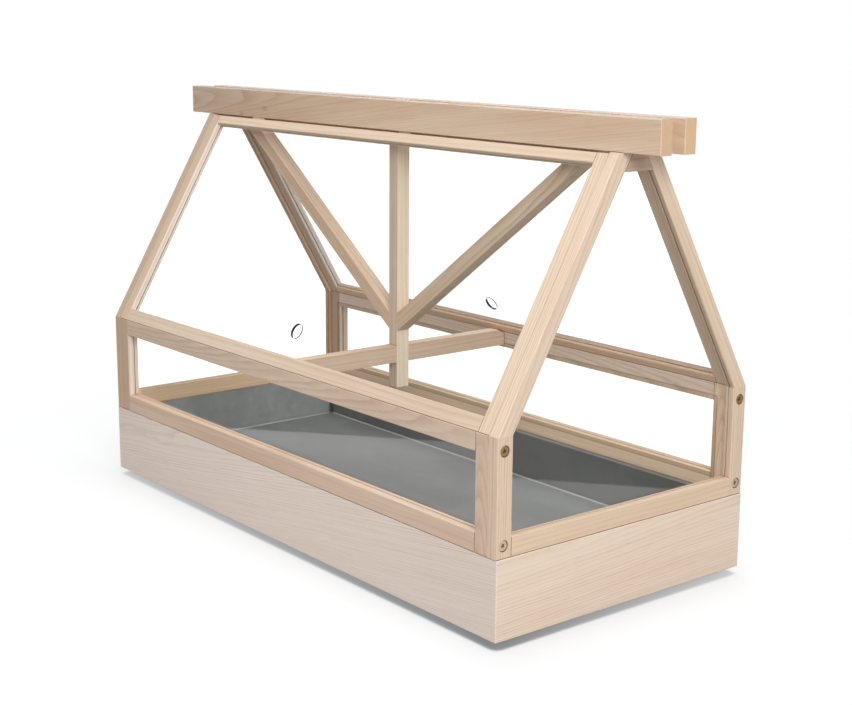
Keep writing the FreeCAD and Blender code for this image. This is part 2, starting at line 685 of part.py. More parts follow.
# Ridge beams and truss
def ridge_beam(label, half_turned):
    """Make one ridge beam, all its arrises broken."""
    deep = -value("Sizes.BeamGap / 2 + Sizes.BeamThick / 2")
    body = new_body(label, FRAME_TURN, 0, deep, value(BASE_TOP), half_turned)
    half = "Sizes.BeamLength / 2"
    corners = rectangle(f"-{half}", half, RIDGE_UNDERSIDE, RIDGE_TOP)
    outline("Pad", body, "beam", [corners], "Sizes.BeamThick")
    chamfer(body, arrises(corners, [(index, BOTH) for index in range(4)], "Sizes.BeamThick"))


def brace_tenon(inner, outer):
    """Return the stub tenon at a brace's foot, or the mortise that takes it."""
    low = f"{BRACE_FOOT} + Sizes.BraceShoulder"
    return rectangle(inner, outer, low, "Sizes.BraceFootTop - Sizes.BraceShoulder")


def king_post():
    """Make the king post: halved for the tie beam, mortised for the braces, its end bevelled."""
    body = new_body("king_post", FRAME_TURN, up=value(BASE_TOP))
    half = "(Sizes.KingPostLength / 2)"
    corners = rectangle(f"-{half}", half, "Sizes.KingPostBottom", RIDGE_TOP)
    outline("Pad", body, "post", [corners], "Sizes.BeamGap")
    tie_top = "Sizes.TieUnderside + Sizes.TieHeight"
    notch = rectangle(f"-{half} - Sizes.Overcut", "0", "Sizes.TieUnderside", tie_top)
    outline("Pocket", body, "halving", [notch], "Sizes.BeamGap")
    depth = f"{half} - Sizes.BraceTenon"
    mortise = brace_tenon(depth, f"{half} + Sizes.Overcut")
    mortises = [signed(sign, mortise) for sign, _ in SIDES]
    outline("Pocket", body, "mortises", mortises, "Sizes.TenonThick")
    face = "Sizes.BeamGap / 2"
    foot = "Sizes.KingPostBottom"
    rim = [[(f"{sign}{half}", foot, f"-{face}"), (f"{sign}{half}", foot, face)] for sign, _ in SIDES]
    chamfer(body, arrises(corners, [(0, BOTH)], "Sizes.BeamGap") + rim, "Sizes.KingPostBevel")


def tie_beam():
    """Make the tie beam: halved over the king post, tenoned into the head rails, ends bevelled."""
    body = new_body("tie_beam", GABLE_TURN, up=value(BASE_TOP))
    end = "(Sizes.HouseDepth / 2 - Sizes.LongFrameThick)"
    top = "(Sizes.TieUnderside + Sizes.TieHeight)"
    half = [
        (end, "Sizes.TieUnderside"),
        (end, f"{top} - Sizes.TieBevel"),
        (f"({end} - Sizes.TieBevel * tan(Sizes.RoofPitch))", top),
    ]
    corners = half + [(f"-{across}", up) for across, up in reversed(half)]
    outline("Pad", body, "beam", [corners], "Sizes.KingPostLength")
    tip = f"{end} + Sizes.TenonLength"
    stub = tenon(end, tip, TIE_TENON_LOW, f"{TIE_TENON_LOW} + Sizes.TieTenonHeight")
    outline("Pad", body, "tenons", [signed(sign, stub) for sign, _ in SIDES], "Sizes.TenonThick")
    low = "Sizes.TieUnderside - Sizes.Overcut"
    notch = rectangle("-Sizes.BeamGap / 2", "Sizes.BeamGap / 2", low, f"{top} + Sizes.Overcut")
    quarter = "Sizes.KingPostLength / 4"
    outline("Pocket", body, "halving", [notch], "Sizes.KingPostLength / 2", offset=quarter)


def brace(label, sign):
    """Make one brace from the king post up between the ridge beams."""
    body = new_body(label, FRAME_TURN, up=value(BASE_TOP))
    foot = "(Sizes.KingPostLength / 2)"
    head = f"({RIDGE_UNDERSIDE} + Sizes.BraceRise)"
    corners = [(foot, BRACE_FOOT)]
    for start in (BRACE_FOOT, "Sizes.BraceFootTop"):
        corners.append((f"({foot} + ({head} - {start}) / tan(Sizes.BracePitch))", head))
    corners.append((foot, "Sizes.BraceFootTop"))
    corners = signed(sign, corners)
    outline("Pad", body, "brace", [corners], "Sizes.BeamGap")
    stub = brace_tenon(f"{foot} - Sizes.BraceTenon", f"{foot} + Sizes.Overcut")
    outline("Pad", body, "tenon", [signed(sign, stub)], "Sizes.TenonThick")
    chamfer(body, arrises(corners, [(0, BOTH), (2, BOTH)], "Sizes.BeamGap"))


# Roof sashes
def foot_cut():
    """Return the wedge that makes a sash's foot level, in slope distance and thickness."""
    face = "(Sizes.SashThick / 2 + Sizes.Overcut)"
    outer = "(Sizes.SashFootGap - Sizes.Overcut * cos(Sizes.RoofPitch)) / sin(Sizes.RoofPitch)"
    drop = "(Sizes.SashThick + Sizes.Overcut) * cos(Sizes.RoofPitch)"
    inner = f"(Sizes.SashFootGap + {drop}) / sin(Sizes.RoofPitch)"
    below = "-Sizes.SashThick"
    return [(outer, face), (inner, f"-{face}"), (below, f"-{face}"), (below, face)]


SASH_FOOT_TENON = ("Sizes.SashThick / 2", "Sizes.SashBottomRail - Sizes.GrooveDepth")
SASH_HEAD_LOW = f"({SASH_LENGTH} - Sizes.SashTopRail)"
SASH_HEAD_TENON = (
    f"{SASH_HEAD_LOW} + Sizes.GrooveDepth",
    f"{SASH_LENGTH} - Sizes.TenonShoulder / 2",
)


def sash(name, half_turned):
    """Make one roof sash: two stiles, two rails and its pane, hung on pins near its top."""
    pitch = "Sizes.RoofPitch"
    deep = -value(f"Sizes.HouseDepth / 2 - Sizes.SashThick / 2 * sin({pitch})")
    up = value(f"{BASE_TOP} + Sizes.PostHeight - Sizes.SashThick / 2 * cos({pitch})")
    blank_low = f"({SASH_EDGE} - Sizes.Overcut)"
    reach = f"({SASH_INNER} + Sizes.TenonLength)"
    face = "Sizes.SashThick / 2"

    def start(part):
        return new_body(f"{name}_{part}", SASH_TURN, 0, deep, up, half_turned)

    def level_foot(body, length):
        outline("Pocket", body, "foot_cut", [foot_cut()], length, "YZ_Plane")

    for sign, side in SIDES:
        body = start("right_stile" if (side > 0) != half_turned else "left_stile")
        corners = signed(sign, rectangle(SASH_INNER, SASH_HALF, blank_low, SASH_LENGTH))
        outline("Pad", body, "stile", [corners], "Sizes.SashThick")
        level_foot(body, "Sizes.HouseLength")
        groove = rectangle(
            f"{SASH_INNER} - Sizes.Overcut",
            f"{SASH_INNER} + Sizes.GrooveDepth",
            SASH_FOOT_TENON[1],
            SASH_HEAD_TENON[0],
        )
        cut_line("groove", body, [signed(sign, groove)])
        spans = (SASH_FOOT_TENON, SASH_HEAD_TENON)
        mortises = [signed(sign, tenon(SASH_INNER, reach, *span)) for span in spans]
        cut_line("mortises", body, mortises)
        sketch = new_sketch(body, "pin_hole", "YZ_Plane", f"{sign}{GABLE_INNER}")
        add_circle(sketch, f"{SASH_LENGTH} - Sizes.PinInset", "0", "Sizes.PinRadius + Sizes.PinClearance")
        extrude("Pocket", sketch, "(Sizes.PinBite + Sizes.PinEndPlay) * 2")
        foot = [(f"{sign}{SASH_INNER}", SASH_EDGE, face), (f"{sign}{SASH_HALF}", SASH_EDGE, face)]
        picks = [(2, OUTER), (3, BOTH)]
        chamfer(body, arrises(corners, picks, "Sizes.SashThick") + [foot])

    rails = (
        ("bottom_rail", blank_low, "Sizes.SashBottomRail", SASH_FOOT_TENON, 2),
        ("top_rail", SASH_HEAD_LOW, SASH_LENGTH, SASH_HEAD_TENON, 0),
    )
    for label, low, high, span, glass_edge in rails:
        body = start(label)
        corners = rectangle(f"-{SASH_INNER}", SASH_INNER, low, high)
        outline("Pad", body, "rail", [corners], "Sizes.SashThick")
        tenons = [signed(sign, tenon(SASH_INNER, reach, *span)) for sign, _ in SIDES]
        add_line("tenons", body, tenons)
        bed = (span[1], f"{high} + Sizes.Overcut") if glass_edge else (f"{low} - Sizes.Overcut", span[0])
        groove = rectangle(f"-{SASH_INNER} - Sizes.Overcut", f"{SASH_INNER} + Sizes.Overcut", *bed)
        cut_line("groove", body, [groove])
        picks = [(glass_edge, BOTH)]
        lines = arrises(corners, picks, "Sizes.SashThick")
        if glass_edge:
            level_foot(body, "Sizes.HouseLength")
            lines.append([(f"-{SASH_INNER}", SASH_EDGE, face), (SASH_INNER, SASH_EDGE, face)])
        else:
            lines += arrises(corners, [(2, OUTER)], "Sizes.SashThick")
        chamfer(body, lines)

    body = start("pane")
    edge = f"({SASH_INNER} + Sizes.GlassEntry)"
    sketch = new_sketch(body, "pane", offset=GLASS_PLANE)
    head = f"{SASH_HEAD_LOW} + Sizes.GlassEntry"
    add_polygon(sketch, rectangle(f"-{edge}", edge, SASH_FOOT_TENON[1], head))
    add_circle(sketch, "0", "Sizes.FingerHoleRise", "Sizes.FingerHoleRadius")
    extrude("Pad", sketch, "Sizes.GlassThick")


# Fasteners
def connector_bolts():
    """Make eight bolts with hex sockets, two through each gable post."""
    body = new_body("connector_bolts", up=value(BASE_TOP), compound=True)
    seat = "(Sizes.HouseLength / 2 - Sizes.BoltRecessDepth)"
    centres = [(BOLT_LINE, "Sizes.BoltUpper"), (BOLT_LINE, "Sizes.BoltLower")]
    one = {"plane": "YZ_Plane", "offset": seat, "side": "One side"}
    rounds("Pad", body, "heads", centres, "Sizes.BoltHeadRadius", "Sizes.BoltHeadHeight", **one)
    shank = "Sizes.BoltShankRadius"
    rounds("Pad", body, "shanks", centres, shank, "Sizes.BoltLength", reverse=True, **one)
    corner = "Sizes.BoltSocket / sqrt(3)"
    flat = "Sizes.BoltSocket / 2"
    hexagon = [("0", corner), (flat, f"{corner} / 2"), (flat, f"-{corner} / 2")]
    hexagon += [(f"-({across})", f"-({up})") for across, up in hexagon]
    sockets = []
    for across, up in centres:
        sockets.append([(f"{across} + ({a})", f"{up} + ({b})") for a, b in hexagon])
    top = f"{seat} + Sizes.BoltHeadHeight"
    outline("Pocket", body, "sockets", sockets, "Sizes.BoltSocketDepth * 2", "YZ_Plane", top)
    mirror(body, "YZ_Plane")
    mirror(body, "XZ_Plane")


def sash_pivot_pins():
    """Make the four pins, half in a rafter and half in a sash stile."""
    body = new_body("sash_pivot_pins", up=value(BASE_TOP), compound=True)
    pin = [(PIN_DEEP, PIN_UP)]
    length = "Sizes.PinBite * 2"
    rounds("Pad", body, "pin", pin, "Sizes.PinRadius", length, "YZ_Plane", GABLE_INNER)
    mirror(body, "YZ_Plane")
    mirror(body, "XZ_Plane")


def rafter_dowels():
    """Make the four dowels between posts and rafters."""
    body = new_body("rafter_dowels", up=value(BASE_TOP), compound=True)
    middle = "Sizes.HouseLength / 2 - Sizes.GableThick / 2"
    centre = [(middle, "Sizes.HouseDepth / 2 - Sizes.DowelInset")]
    foot = "Sizes.PostHeight - Sizes.DowelBelow"
    length = "Sizes.DowelAbove + Sizes.DowelBelow"
    rounds("Pad", body, "dowel", centre, "Sizes.DowelRadius", length, offset=foot, side="One side")
    mirror(body, "YZ_Plane")
    mirror(body, "XZ_Plane")


base_box()
bottom_panel()
corner_blocks()
feet()
locating_pegs()
plant_tray()
for side_name, turned in (("front", False), ("back", True)):
    long_frame(f"{side_name}_frame", turned)
    sash(f"{side_name}_sash", turned)
    ridge_beam(f"{side_name}_ridge_beam", turned)
for side_name, turned in (("right", False), ("left", True)):
    gable(f"{side_name}_gable", turned)
king_post()
tie_beam()
brace("right_brace", "")
brace("left_brace", "-")
connector_bolts()
sash_pivot_pins()
rafter_dowels()
doc.recompute()

for item in doc.Objects:
    if "Invalid" in item.State or "Error" in item.State:
        raise RuntimeError(f"{item.Name} failed: {item.State}")
for part in bodies:
    if part.Shape.isNull() or not part.Shape.isValid():
        raise RuntimeError(f"{part.Label} has no valid shape")

os.makedirs("parts", exist_ok=True)
for part in bodies:
    part.Shape.exportStep(f"parts/{part.Label}.step")
    print(part.Label, len(part.Shape.Solids), round(part.Shape.Volume))
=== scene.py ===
import math

import bpy
from bpy.props import FloatProperty, FloatVectorProperty, PointerProperty
from mathutils import Matrix, Vector


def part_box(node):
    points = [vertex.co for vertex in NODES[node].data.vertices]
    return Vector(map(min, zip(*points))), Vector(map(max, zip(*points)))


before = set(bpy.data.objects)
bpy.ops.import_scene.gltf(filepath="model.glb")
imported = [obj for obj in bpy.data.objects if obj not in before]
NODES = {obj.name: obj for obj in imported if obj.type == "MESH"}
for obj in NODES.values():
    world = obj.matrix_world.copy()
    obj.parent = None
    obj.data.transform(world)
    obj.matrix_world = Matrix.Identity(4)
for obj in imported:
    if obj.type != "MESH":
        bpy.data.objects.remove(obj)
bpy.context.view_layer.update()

bl_info = {
    "name": "Mini Greenhouse Finish",
    "version": (1, 0, 0),
    "blender": (4, 5, 0),
    "location": "3D View > Sidebar > Greenhouse",
    "description": "Finishes a glazed ash mini greenhouse and sets up its studio",
    "category": "Object",
}

WHITE = (1, 1, 1)

# Directions: the greenhouse is long in X and its front looks along -Y

ALONG = (1, 0, 0)
DEEP = (0, 1, 0)
UP = (0, 0, 1)
FORWARD = (0, -1, 0)
BACKWARD = (0, 1, 0)
RIGHTWARD = (1, 0, 0)
LEFTWARD = (-1, 0, 0)
ROOF_PITCH = math.radians(60)
BRACE_PITCH = math.radians(35.8)
SLOPES = {
    "front": (0, math.cos(ROOF_PITCH), math.sin(ROOF_PITCH)),
    "back": (0, -math.cos(ROOF_PITCH), math.sin(ROOF_PITCH)),
}
OUTWARD = {
    "front": (0, -math.sin(ROOF_PITCH), math.cos(ROOF_PITCH)),
    "back": (0, math.sin(ROOF_PITCH), math.cos(ROOF_PITCH)),
}
INWARD = {side: tuple(-part for part in OUTWARD[side]) for side in OUTWARD}


# Sizes and colours

def colour(name, description, default):
    """A colour that a user can change."""
    return FloatVectorProperty(
        name=name, description=description, subtype="COLOR", size=3, min=0, max=1, default=default
    )


def share(name, description, default):
    """A plain factor that a user can change."""
    return FloatProperty(
        name=name, description=description, subtype="FACTOR", min=0, max=1, default=default
    )


def gain(name, description, default):
    """A factor with no upper end that a user can change."""
    return FloatProperty(name=name, description=description, min=0, default=default)


def distance(name, description, default):
    """A length in metres that a user can change."""
    return FloatProperty(
        name=name, description=description, unit="LENGTH", min=0, precision=4, default=default
    )


def place(name, description, default):
    """A place or half size in metres that a user can change."""
    return FloatVectorProperty(
        name=name, description=description, subtype="TRANSLATION", unit="LENGTH",
        size=len(default), default=default,
    )


def power(name, description, default):
    """A lamp's power in watts that a user can change."""
    return FloatProperty(name=name, description=description, unit="POWER", default=default)


def turn(name, description, degrees):
    """An angle that a user can change."""
    return FloatProperty(
        name=name, description=description, unit="ROTATION", default=math.radians(degrees)
    )


class AshSettings(bpy.types.PropertyGroup):
    """The look of the planed and sanded ash."""

    latewood: colour("Latewood", "The smooth pale wood between the rings", (0.86, 0.70, 0.54))
    earlywood: colour("Earlywood", "The open pores of each ring", (0.56, 0.37, 0.25))
    heart: colour("Warm streaks", "The warmer wood nearer the heart", (0.74, 0.53, 0.37))
    end_grain: colour("End grain", "The thirstier wood at a sawn end", (0.73, 0.50, 0.31))
    joint: colour("Joint", "The dark line in a joint", (0.16, 0.085, 0.050))
    knot: colour("Knot", "A pin knot", (0.26, 0.13, 0.075))
    # Painted shade in corners: the share of its colour that a surface keeps there
    corner: colour("Corner", "The share of its colour that a corner keeps", (0.50, 0.45, 0.42))
    # Painted shade: the strip of a glazing bead, darker as where it stands back in shade
    bead: colour("Bead", "The share of its colour that a glazing bead keeps", (0.80, 0.75, 0.66))
    ring_scale: gain("Ring scale", "How wide the rings are against each board's own width", 1.0)
    joint_reach: distance("Joint reach", "How near a neighbour darkens a joint", 0.0016)
    bead_width: distance("Bead width", "Width of the bead round a pane", 0.005)
    ring_depth: share("Ring depth", "How strongly the rings show", 0.62)
    fibre_depth: share("Fibre depth", "How strongly single fibres show", 0.32)
    joint_depth: share("Joint depth", "How dark the joints are", 0.90)
    # The bead's seam: a dark joint line, partly the painted shadow of the bead's step
    seam_depth: share("Seam depth", "How dark the bead's seam is against a joint", 0.45)
    # Painted shadow line along the glass, where it goes into its groove
    glass_shadow_line_depth: share("Line depth", "How dark the line along the glass is against a joint", 0.95)
    knot_depth: share("Knot depth", "How strongly a knot shows", 0.30)
    roughness: share("Roughness", "Roughness of the sanded surface", 0.58)
    shine: share("Shine", "How much the sanded surface mirrors", 0.35)
    relief: share("Relief", "How strongly the pores stand back", 0.25)
    pore_depth: distance("Pore depth", "How deep the pores are", 0.0002)


class TraySettings(bpy.types.PropertyGroup):
    """The look of the galvanised tray."""

    zinc: colour("Zinc", "The dull zinc skin", (0.185, 0.198, 0.191))
    bloom: colour("Bloom", "The lighter clouds of the zinc", (0.265, 0.275, 0.268))
    # A dark line on the upright seams, and painted shade in the corners, in one colour
    seam: colour("Seam", "The stained zinc in corners and seams", (0.060, 0.054, 0.044))
    # Painted highlight along the bends between floor and walls
    bend_highlight: colour("Rubbed", "The zinc rubbed bright along the bends", (0.46, 0.47, 0.47))
    spangle: distance("Spangle", "Width of a zinc crystal", 0.009)
    seam_width: distance("Seam width", "Half the width of the stain on an upright seam", 0.0045)
    # How far the painted shade reaches out of a corner
    corner_shade_reach: distance("Corner reach", "How far the stain comes out of a corner", 0.016)
    inside: place("Inside corner", "Half of the length and depth inside the walls", (0.328, 0.140))
    roughness: share("Roughness", "Roughness of the zinc", 0.42)
    metal: share("Metal", "How metallic the zinc looks", 0.12)
    # Painted light and shade: the end walls are painted lighter and the long walls darker, for how
    # the light falls on them
    end_wall_painted_light: gain("End gain", "How much lighter the end walls are", 1.75)
    side_wall_painted_shade: gain("Side gain", "How light the long walls are", 0.80)


class GlassSettings(bpy.types.PropertyGroup):
    """The look of the panes."""

    tint: colour("Tint", "What the glass lets through", (0.994, 0.997, 0.995))
    edge: colour("Edge", "The ground edge of a hole", (0.035, 0.042, 0.042))
    index: FloatProperty(
        name="Index", description="Refraction of the glass", min=1, max=2, default=1.5
    )


class FittingSettings(bpy.types.PropertyGroup):
    """The look of the bolts, pins, pegs, feet and panel."""

    brass: colour("Brass", "The lower bolts", (0.86, 0.68, 0.44))
    tarnished: colour("Tarnished brass", "The upper bolts", (0.50, 0.335, 0.165))
    socket: colour("Socket", "The shade in a socket and round a head", (0.12, 0.075, 0.036))
    steel: colour("Steel", "The pivot pins", (0.55, 0.55, 0.55))
    rubber: colour("Rubber", "The feet", (0.035, 0.035, 0.035))
    ply: colour("Plywood", "The bottom panel", (0.62, 0.46, 0.30))
    beech: colour("Beech", "The pegs and dowels", (0.66, 0.48, 0.31))
    lower_bolts: distance("Lower bolts", "The height below which bolts are bright", 0.12)
    upper_bolts: distance("Upper bolts", "The height above which bolts are tarnished", 0.16)


class StageSettings(bpy.types.PropertyGroup):
    """The floor, the light and the camera."""

    paper: colour("Paper", "The floor", (0.95, 0.965, 0.98))
    bounce: colour("Bounce", "The floor, as it throws light back at the box", (0.45, 0.45, 0.45))
    # Painted contact shadow: the floor's colour under the box's edge, where it is deepest, and how
    # near the box has to close the floor off
    contact: colour("Contact", "The floor under the box's edge", (0.325, 0.335, 0.345))
    near_corner: place("Near corner", "Where the contact shadow is deepest", (0.353, -0.165, 0.0))
    gap_reach: distance("Gap reach", "How near the box closes the floor off", 0.013)
    shadow_reach: distance("Shadow reach", "Where the shadow starts to turn white", 0.42)
    white_reach: distance("White reach", "Where the floor is plain white", 0.85)
    glow: share("Glow", "How much of the shadow near the box is lightened", 0.60)
    behind_glass: gain("Behind glass", "White seen through the panes", 1.48)
    paper_half_width: distance("Paper half width", "Half of the paper in the mirror", 0.597)
    paper_shift: distance("Paper shift", "How far the paper lies to the right", 0.022)
    sheen: share("Sheen", "How brightly the glass mirrors the paper", 0.85)
    room: share("Room", "What mirrors show above the floor", 0.03)
    dome: gain("Dome", "Light of the surroundings", 0.40)
    top_power: power("Top light", "Soft box overhead", 30)
    side_power: power("Side light", "Soft box on the right", 70)
    front_power: power("Front light", "Soft box in front", 10)
    focal_length: FloatProperty(
        name="Focal length", description="Of the camera, in millimetres", unit="CAMERA", default=65
    )
    viewpoint: place("Viewpoint", "Place of the camera", (1.3172, -1.0229, 0.5529))
    heading: turn("Heading", "Turn to the left", 51.17)
    pitch: turn("Pitch", "Tilt downwards", 12.19)
    roll: turn("Roll", "Lean of the camera", 0.387)


# Node trees

class Tree:
    """A node tree that is filled by short calls, each of which returns the new node's output."""

    def __init__(self, owner):
        self.nodes = owner.nodes
        self.links = owner.links

    def feed(self, socket, source):
        """Set a socket to a number or colour, or link it to an output."""
        if isinstance(source, bpy.types.NodeSocket):
            self.links.new(source, socket)
        elif hasattr(source, "__len__") and len(source) == 3 and socket.type == "RGBA":
            socket.default_value = (*source, 1)
        else:
            socket.default_value = source

    def add(self, kind, inputs=(), output=0, **settings):
        """Add a node, apply its settings, feed its inputs and return one output."""
        node = self.nodes.new(kind)
        for key, setting in settings.items():
            setattr(node, key, setting)
        for key, source in dict(inputs).items():
            self.feed(node.inputs[key], source)
        return node.outputs[output] if len(node.outputs) else None

    def sum(self, operation, first, second=0.0, clamp=False):
        """One arithmetic step on numbers, held between 0 and 1 where clamp is true."""
        inputs = {0: first, 1: second}
        return self.add("ShaderNodeMath", inputs, operation=operation, use_clamp=clamp)

    def product(self, first, *others):
        """Numbers multiplied by each other."""
        for other in others:
            first = self.sum("MULTIPLY", first, other)
        return first

    def plus(self, base, value, weight):
        """A number plus a weighted one."""
        return self.add("ShaderNodeMath", {0: value, 1: weight, 2: base}, operation="MULTIPLY_ADD")

    def vector(self, operation, first, second=(0, 0, 0), output="Vector"):
        """One arithmetic step on vectors."""
        return self.add("ShaderNodeVectorMath", {0: first, 1: second}, output, operation=operation)

    def length(self, vector):
        """How long a vector is."""
        return self.vector("LENGTH", vector, output="Value")

    def dot(self, vector, direction):
        """How far a vector reaches in a direction."""
        return self.vector("DOT_PRODUCT", vector, tuple(direction), output="Value")

    def split(self, vector):
        """The three parts of a vector, by their letters."""
        return self.add("ShaderNodeSeparateXYZ", {0: vector}).node.outputs

    def blend(self, factor, first, second):
        """A mix of two colours, by the sockets that the node has for colours."""
        node = self.nodes.new("ShaderNodeMix")
        node.data_type = "RGBA"
        for index, source in ((0, factor), (6, first), (7, second)):
            self.feed(node.inputs[index], source)
        return node.outputs[2]

    def stain(self, tone, amount, tint):
        """Multiply a colour by a tint, as far as an amount from 0 to 1 says."""
        return self.vector("MULTIPLY", tone, self.blend(amount, WHITE, tint))

    def noise(self, position, stretch, detail=2.0, output="Fac"):
        """Noise on a position that is first stretched along each axis."""
        stretched = self.vector("MULTIPLY", position, stretch)
        inputs = {"Vector": stretched, "Scale": 1.0, "Detail": detail}
        return self.add("ShaderNodeTexNoise", inputs, output)

    def spread(self, value, low, high, to_low=0.0, to_high=1.0, smooth=False):
        """Carry a number from one range to another, held at the ends."""
        inputs = {0: value, 1: low, 2: high, 3: to_low, 4: to_high}
        kind = "SMOOTHSTEP" if smooth else "LINEAR"
        return self.add("ShaderNodeMapRange", inputs, interpolation_type=kind)

    def line(self, offset, inner, outer, strength):
        """A soft line where an offset is zero: full up to inner on both sides, gone past outer."""
        return self.spread(self.sum("ABSOLUTE", offset), outer, inner, 0.0, strength)

    def here(self):
        """The place on the part, in metres."""
        return self.add("ShaderNodeTexCoord", output="Object")

    def normal(self):
        """The direction that the surface looks."""
        return self.add("ShaderNodeTexCoord", output="Normal")

    def facing(self, direction):
        """How squarely the surface looks in a direction: 1 straight at it, -1 straight away."""
        return self.dot(self.normal(), direction)

    def facing_either(self, direction):
        """How squarely the surface looks in a direction or the opposite one, from 0 to 1."""
        return self.sum("ABSOLUTE", self.facing(direction))

    def openness(self, reach, samples):
        """The share of open sky above the surface within a reach: low in joints and corners."""
        return self.add("ShaderNodeAmbientOcclusion", {"Distance": reach}, "AO", samples=samples)


def new_material(name):
    """An empty material and its tree."""
    material = bpy.data.materials.new(name)
    material.use_nodes = True
    material.node_tree.nodes.clear()
    return material, Tree(material.node_tree)


def finish_surface(tree, shader):
    """Send a shader to the material's output."""
    tree.add("ShaderNodeOutputMaterial", {"Surface": shader})


def coat(material, *names):
    """Give CAD nodes a material in place of their packed one."""
    for name in names:
        for slot in NODES[name].material_slots:
            slot.material = material


# Ash

GRAIN = "Ash grain"
GRAIN_INPUTS = {
    "Position": "Vector", "End": "Float", "Joint": "Float", "Knot": "Float", "Ring": "Float",
    "Warmth": "Float", "Contrast": "Float", "Tone": "Color",
}
GRAIN_OUTPUTS = {"Colour": "Color", "Rough": "Float", "Height": "Float"}
# What bends the rings: the noise's stretch along each axis, how far it bends in metres, its detail
BENDS = (
    ((1.6, 6, 6), 0.016, 2.0),
    ((11, 60, 60), 0.0016, 1.0),
    ((45, 260, 260), 0.0005, 1.0),
)
# Slow noise that makes the years uneven: its turns per metre, and its reach in rings
UNEVEN_YEARS = (110.0, 2.2)
# The band of pores in a ring: the share of the ring by which it is full, the shares between which
# it fades, the power of its fade, and how strong the poorest year is against the best
BAND_FULL = 0.12
BAND_FADE = (0.10, 0.80)
BAND_POWER = 1.5
POOREST_YEAR = 0.40
# Noise on the board, from the finest to the widest: its stretch along each axis and its detail
HAIRS = ((45, 2300, 2300), 1.0)
FIBRES = ((11, 620, 620), 2.0)
RIBBONS = ((3.4, 120, 120), 2.0)
CLOUDS = ((2.6, 20, 20), 2.0)
PATCHES = ((2.2, 16, 16), 1.0)
# Between which values of its noise each of them comes in
STREAK_VALUES = (0.30, 0.72)
PORE_VALUES = (0.52, 0.70)
WARM_VALUES = (0.38, 0.66)
PATCH_VALUES = (0.3, 0.7)
# How strong the rings are in the weakest and in the strongest patch
PATCH_STRENGTHS = (0.5, 1.2)
# How much streaks count against pores, clouds against ribbons, and what a sawn end shows against
# the board, of its own colour and of the rings
STREAK_SHARE = 0.6
CLOUD_SHARE = 0.55
SAWN_SHARE = 0.8
# How much rougher dark wood is, and how far hairs stand out against it
DARK_ROUGHNESS = 0.22
HAIR_HEIGHT = 0.4
# How far along the trunk one seed lies from the next, and where the first one lies
SEED_STEP = 0.37
SEED_START = 0.11
# How squarely a surface looks somewhere where that starts to count, and where it counts in full
SAWN_FACE = (0.75, 0.98)
NARROW_FACE = (0.6, 0.8)
ONE_FACE = (0.90, 0.98)
# How open a place is where the painted shade of a corner and the dark line of a joint start, and
# where they are full
CORNER_SHADE_OPENNESS = (0.45, 0.05)
JOINT_OPENNESS = (0.78, 0.42)
# The share of the half length at which the light of an end starts, and where it is full
END_START, END_FULL = 0.1, 0.9
# The soft edge of the glazing bead's painted shade, and the inner and outer half widths of its seam
BEAD_BLUR = 0.0003
SEAM_HALF_WIDTHS = (0.0003, 0.0009)
# How far the painted shadow line along the glass lies from the rafter's middle, and its half widths
LINE_OFFSET = 0.0005
LINE_HALF_WIDTHS = (0.0004, 0.0011)
# A knot is drawn out along X, the length of its beam, and darkest in this share of its radius
KNOT_STRETCH = (0.45, 1, 1)
KNOT_MIDDLE = 0.2


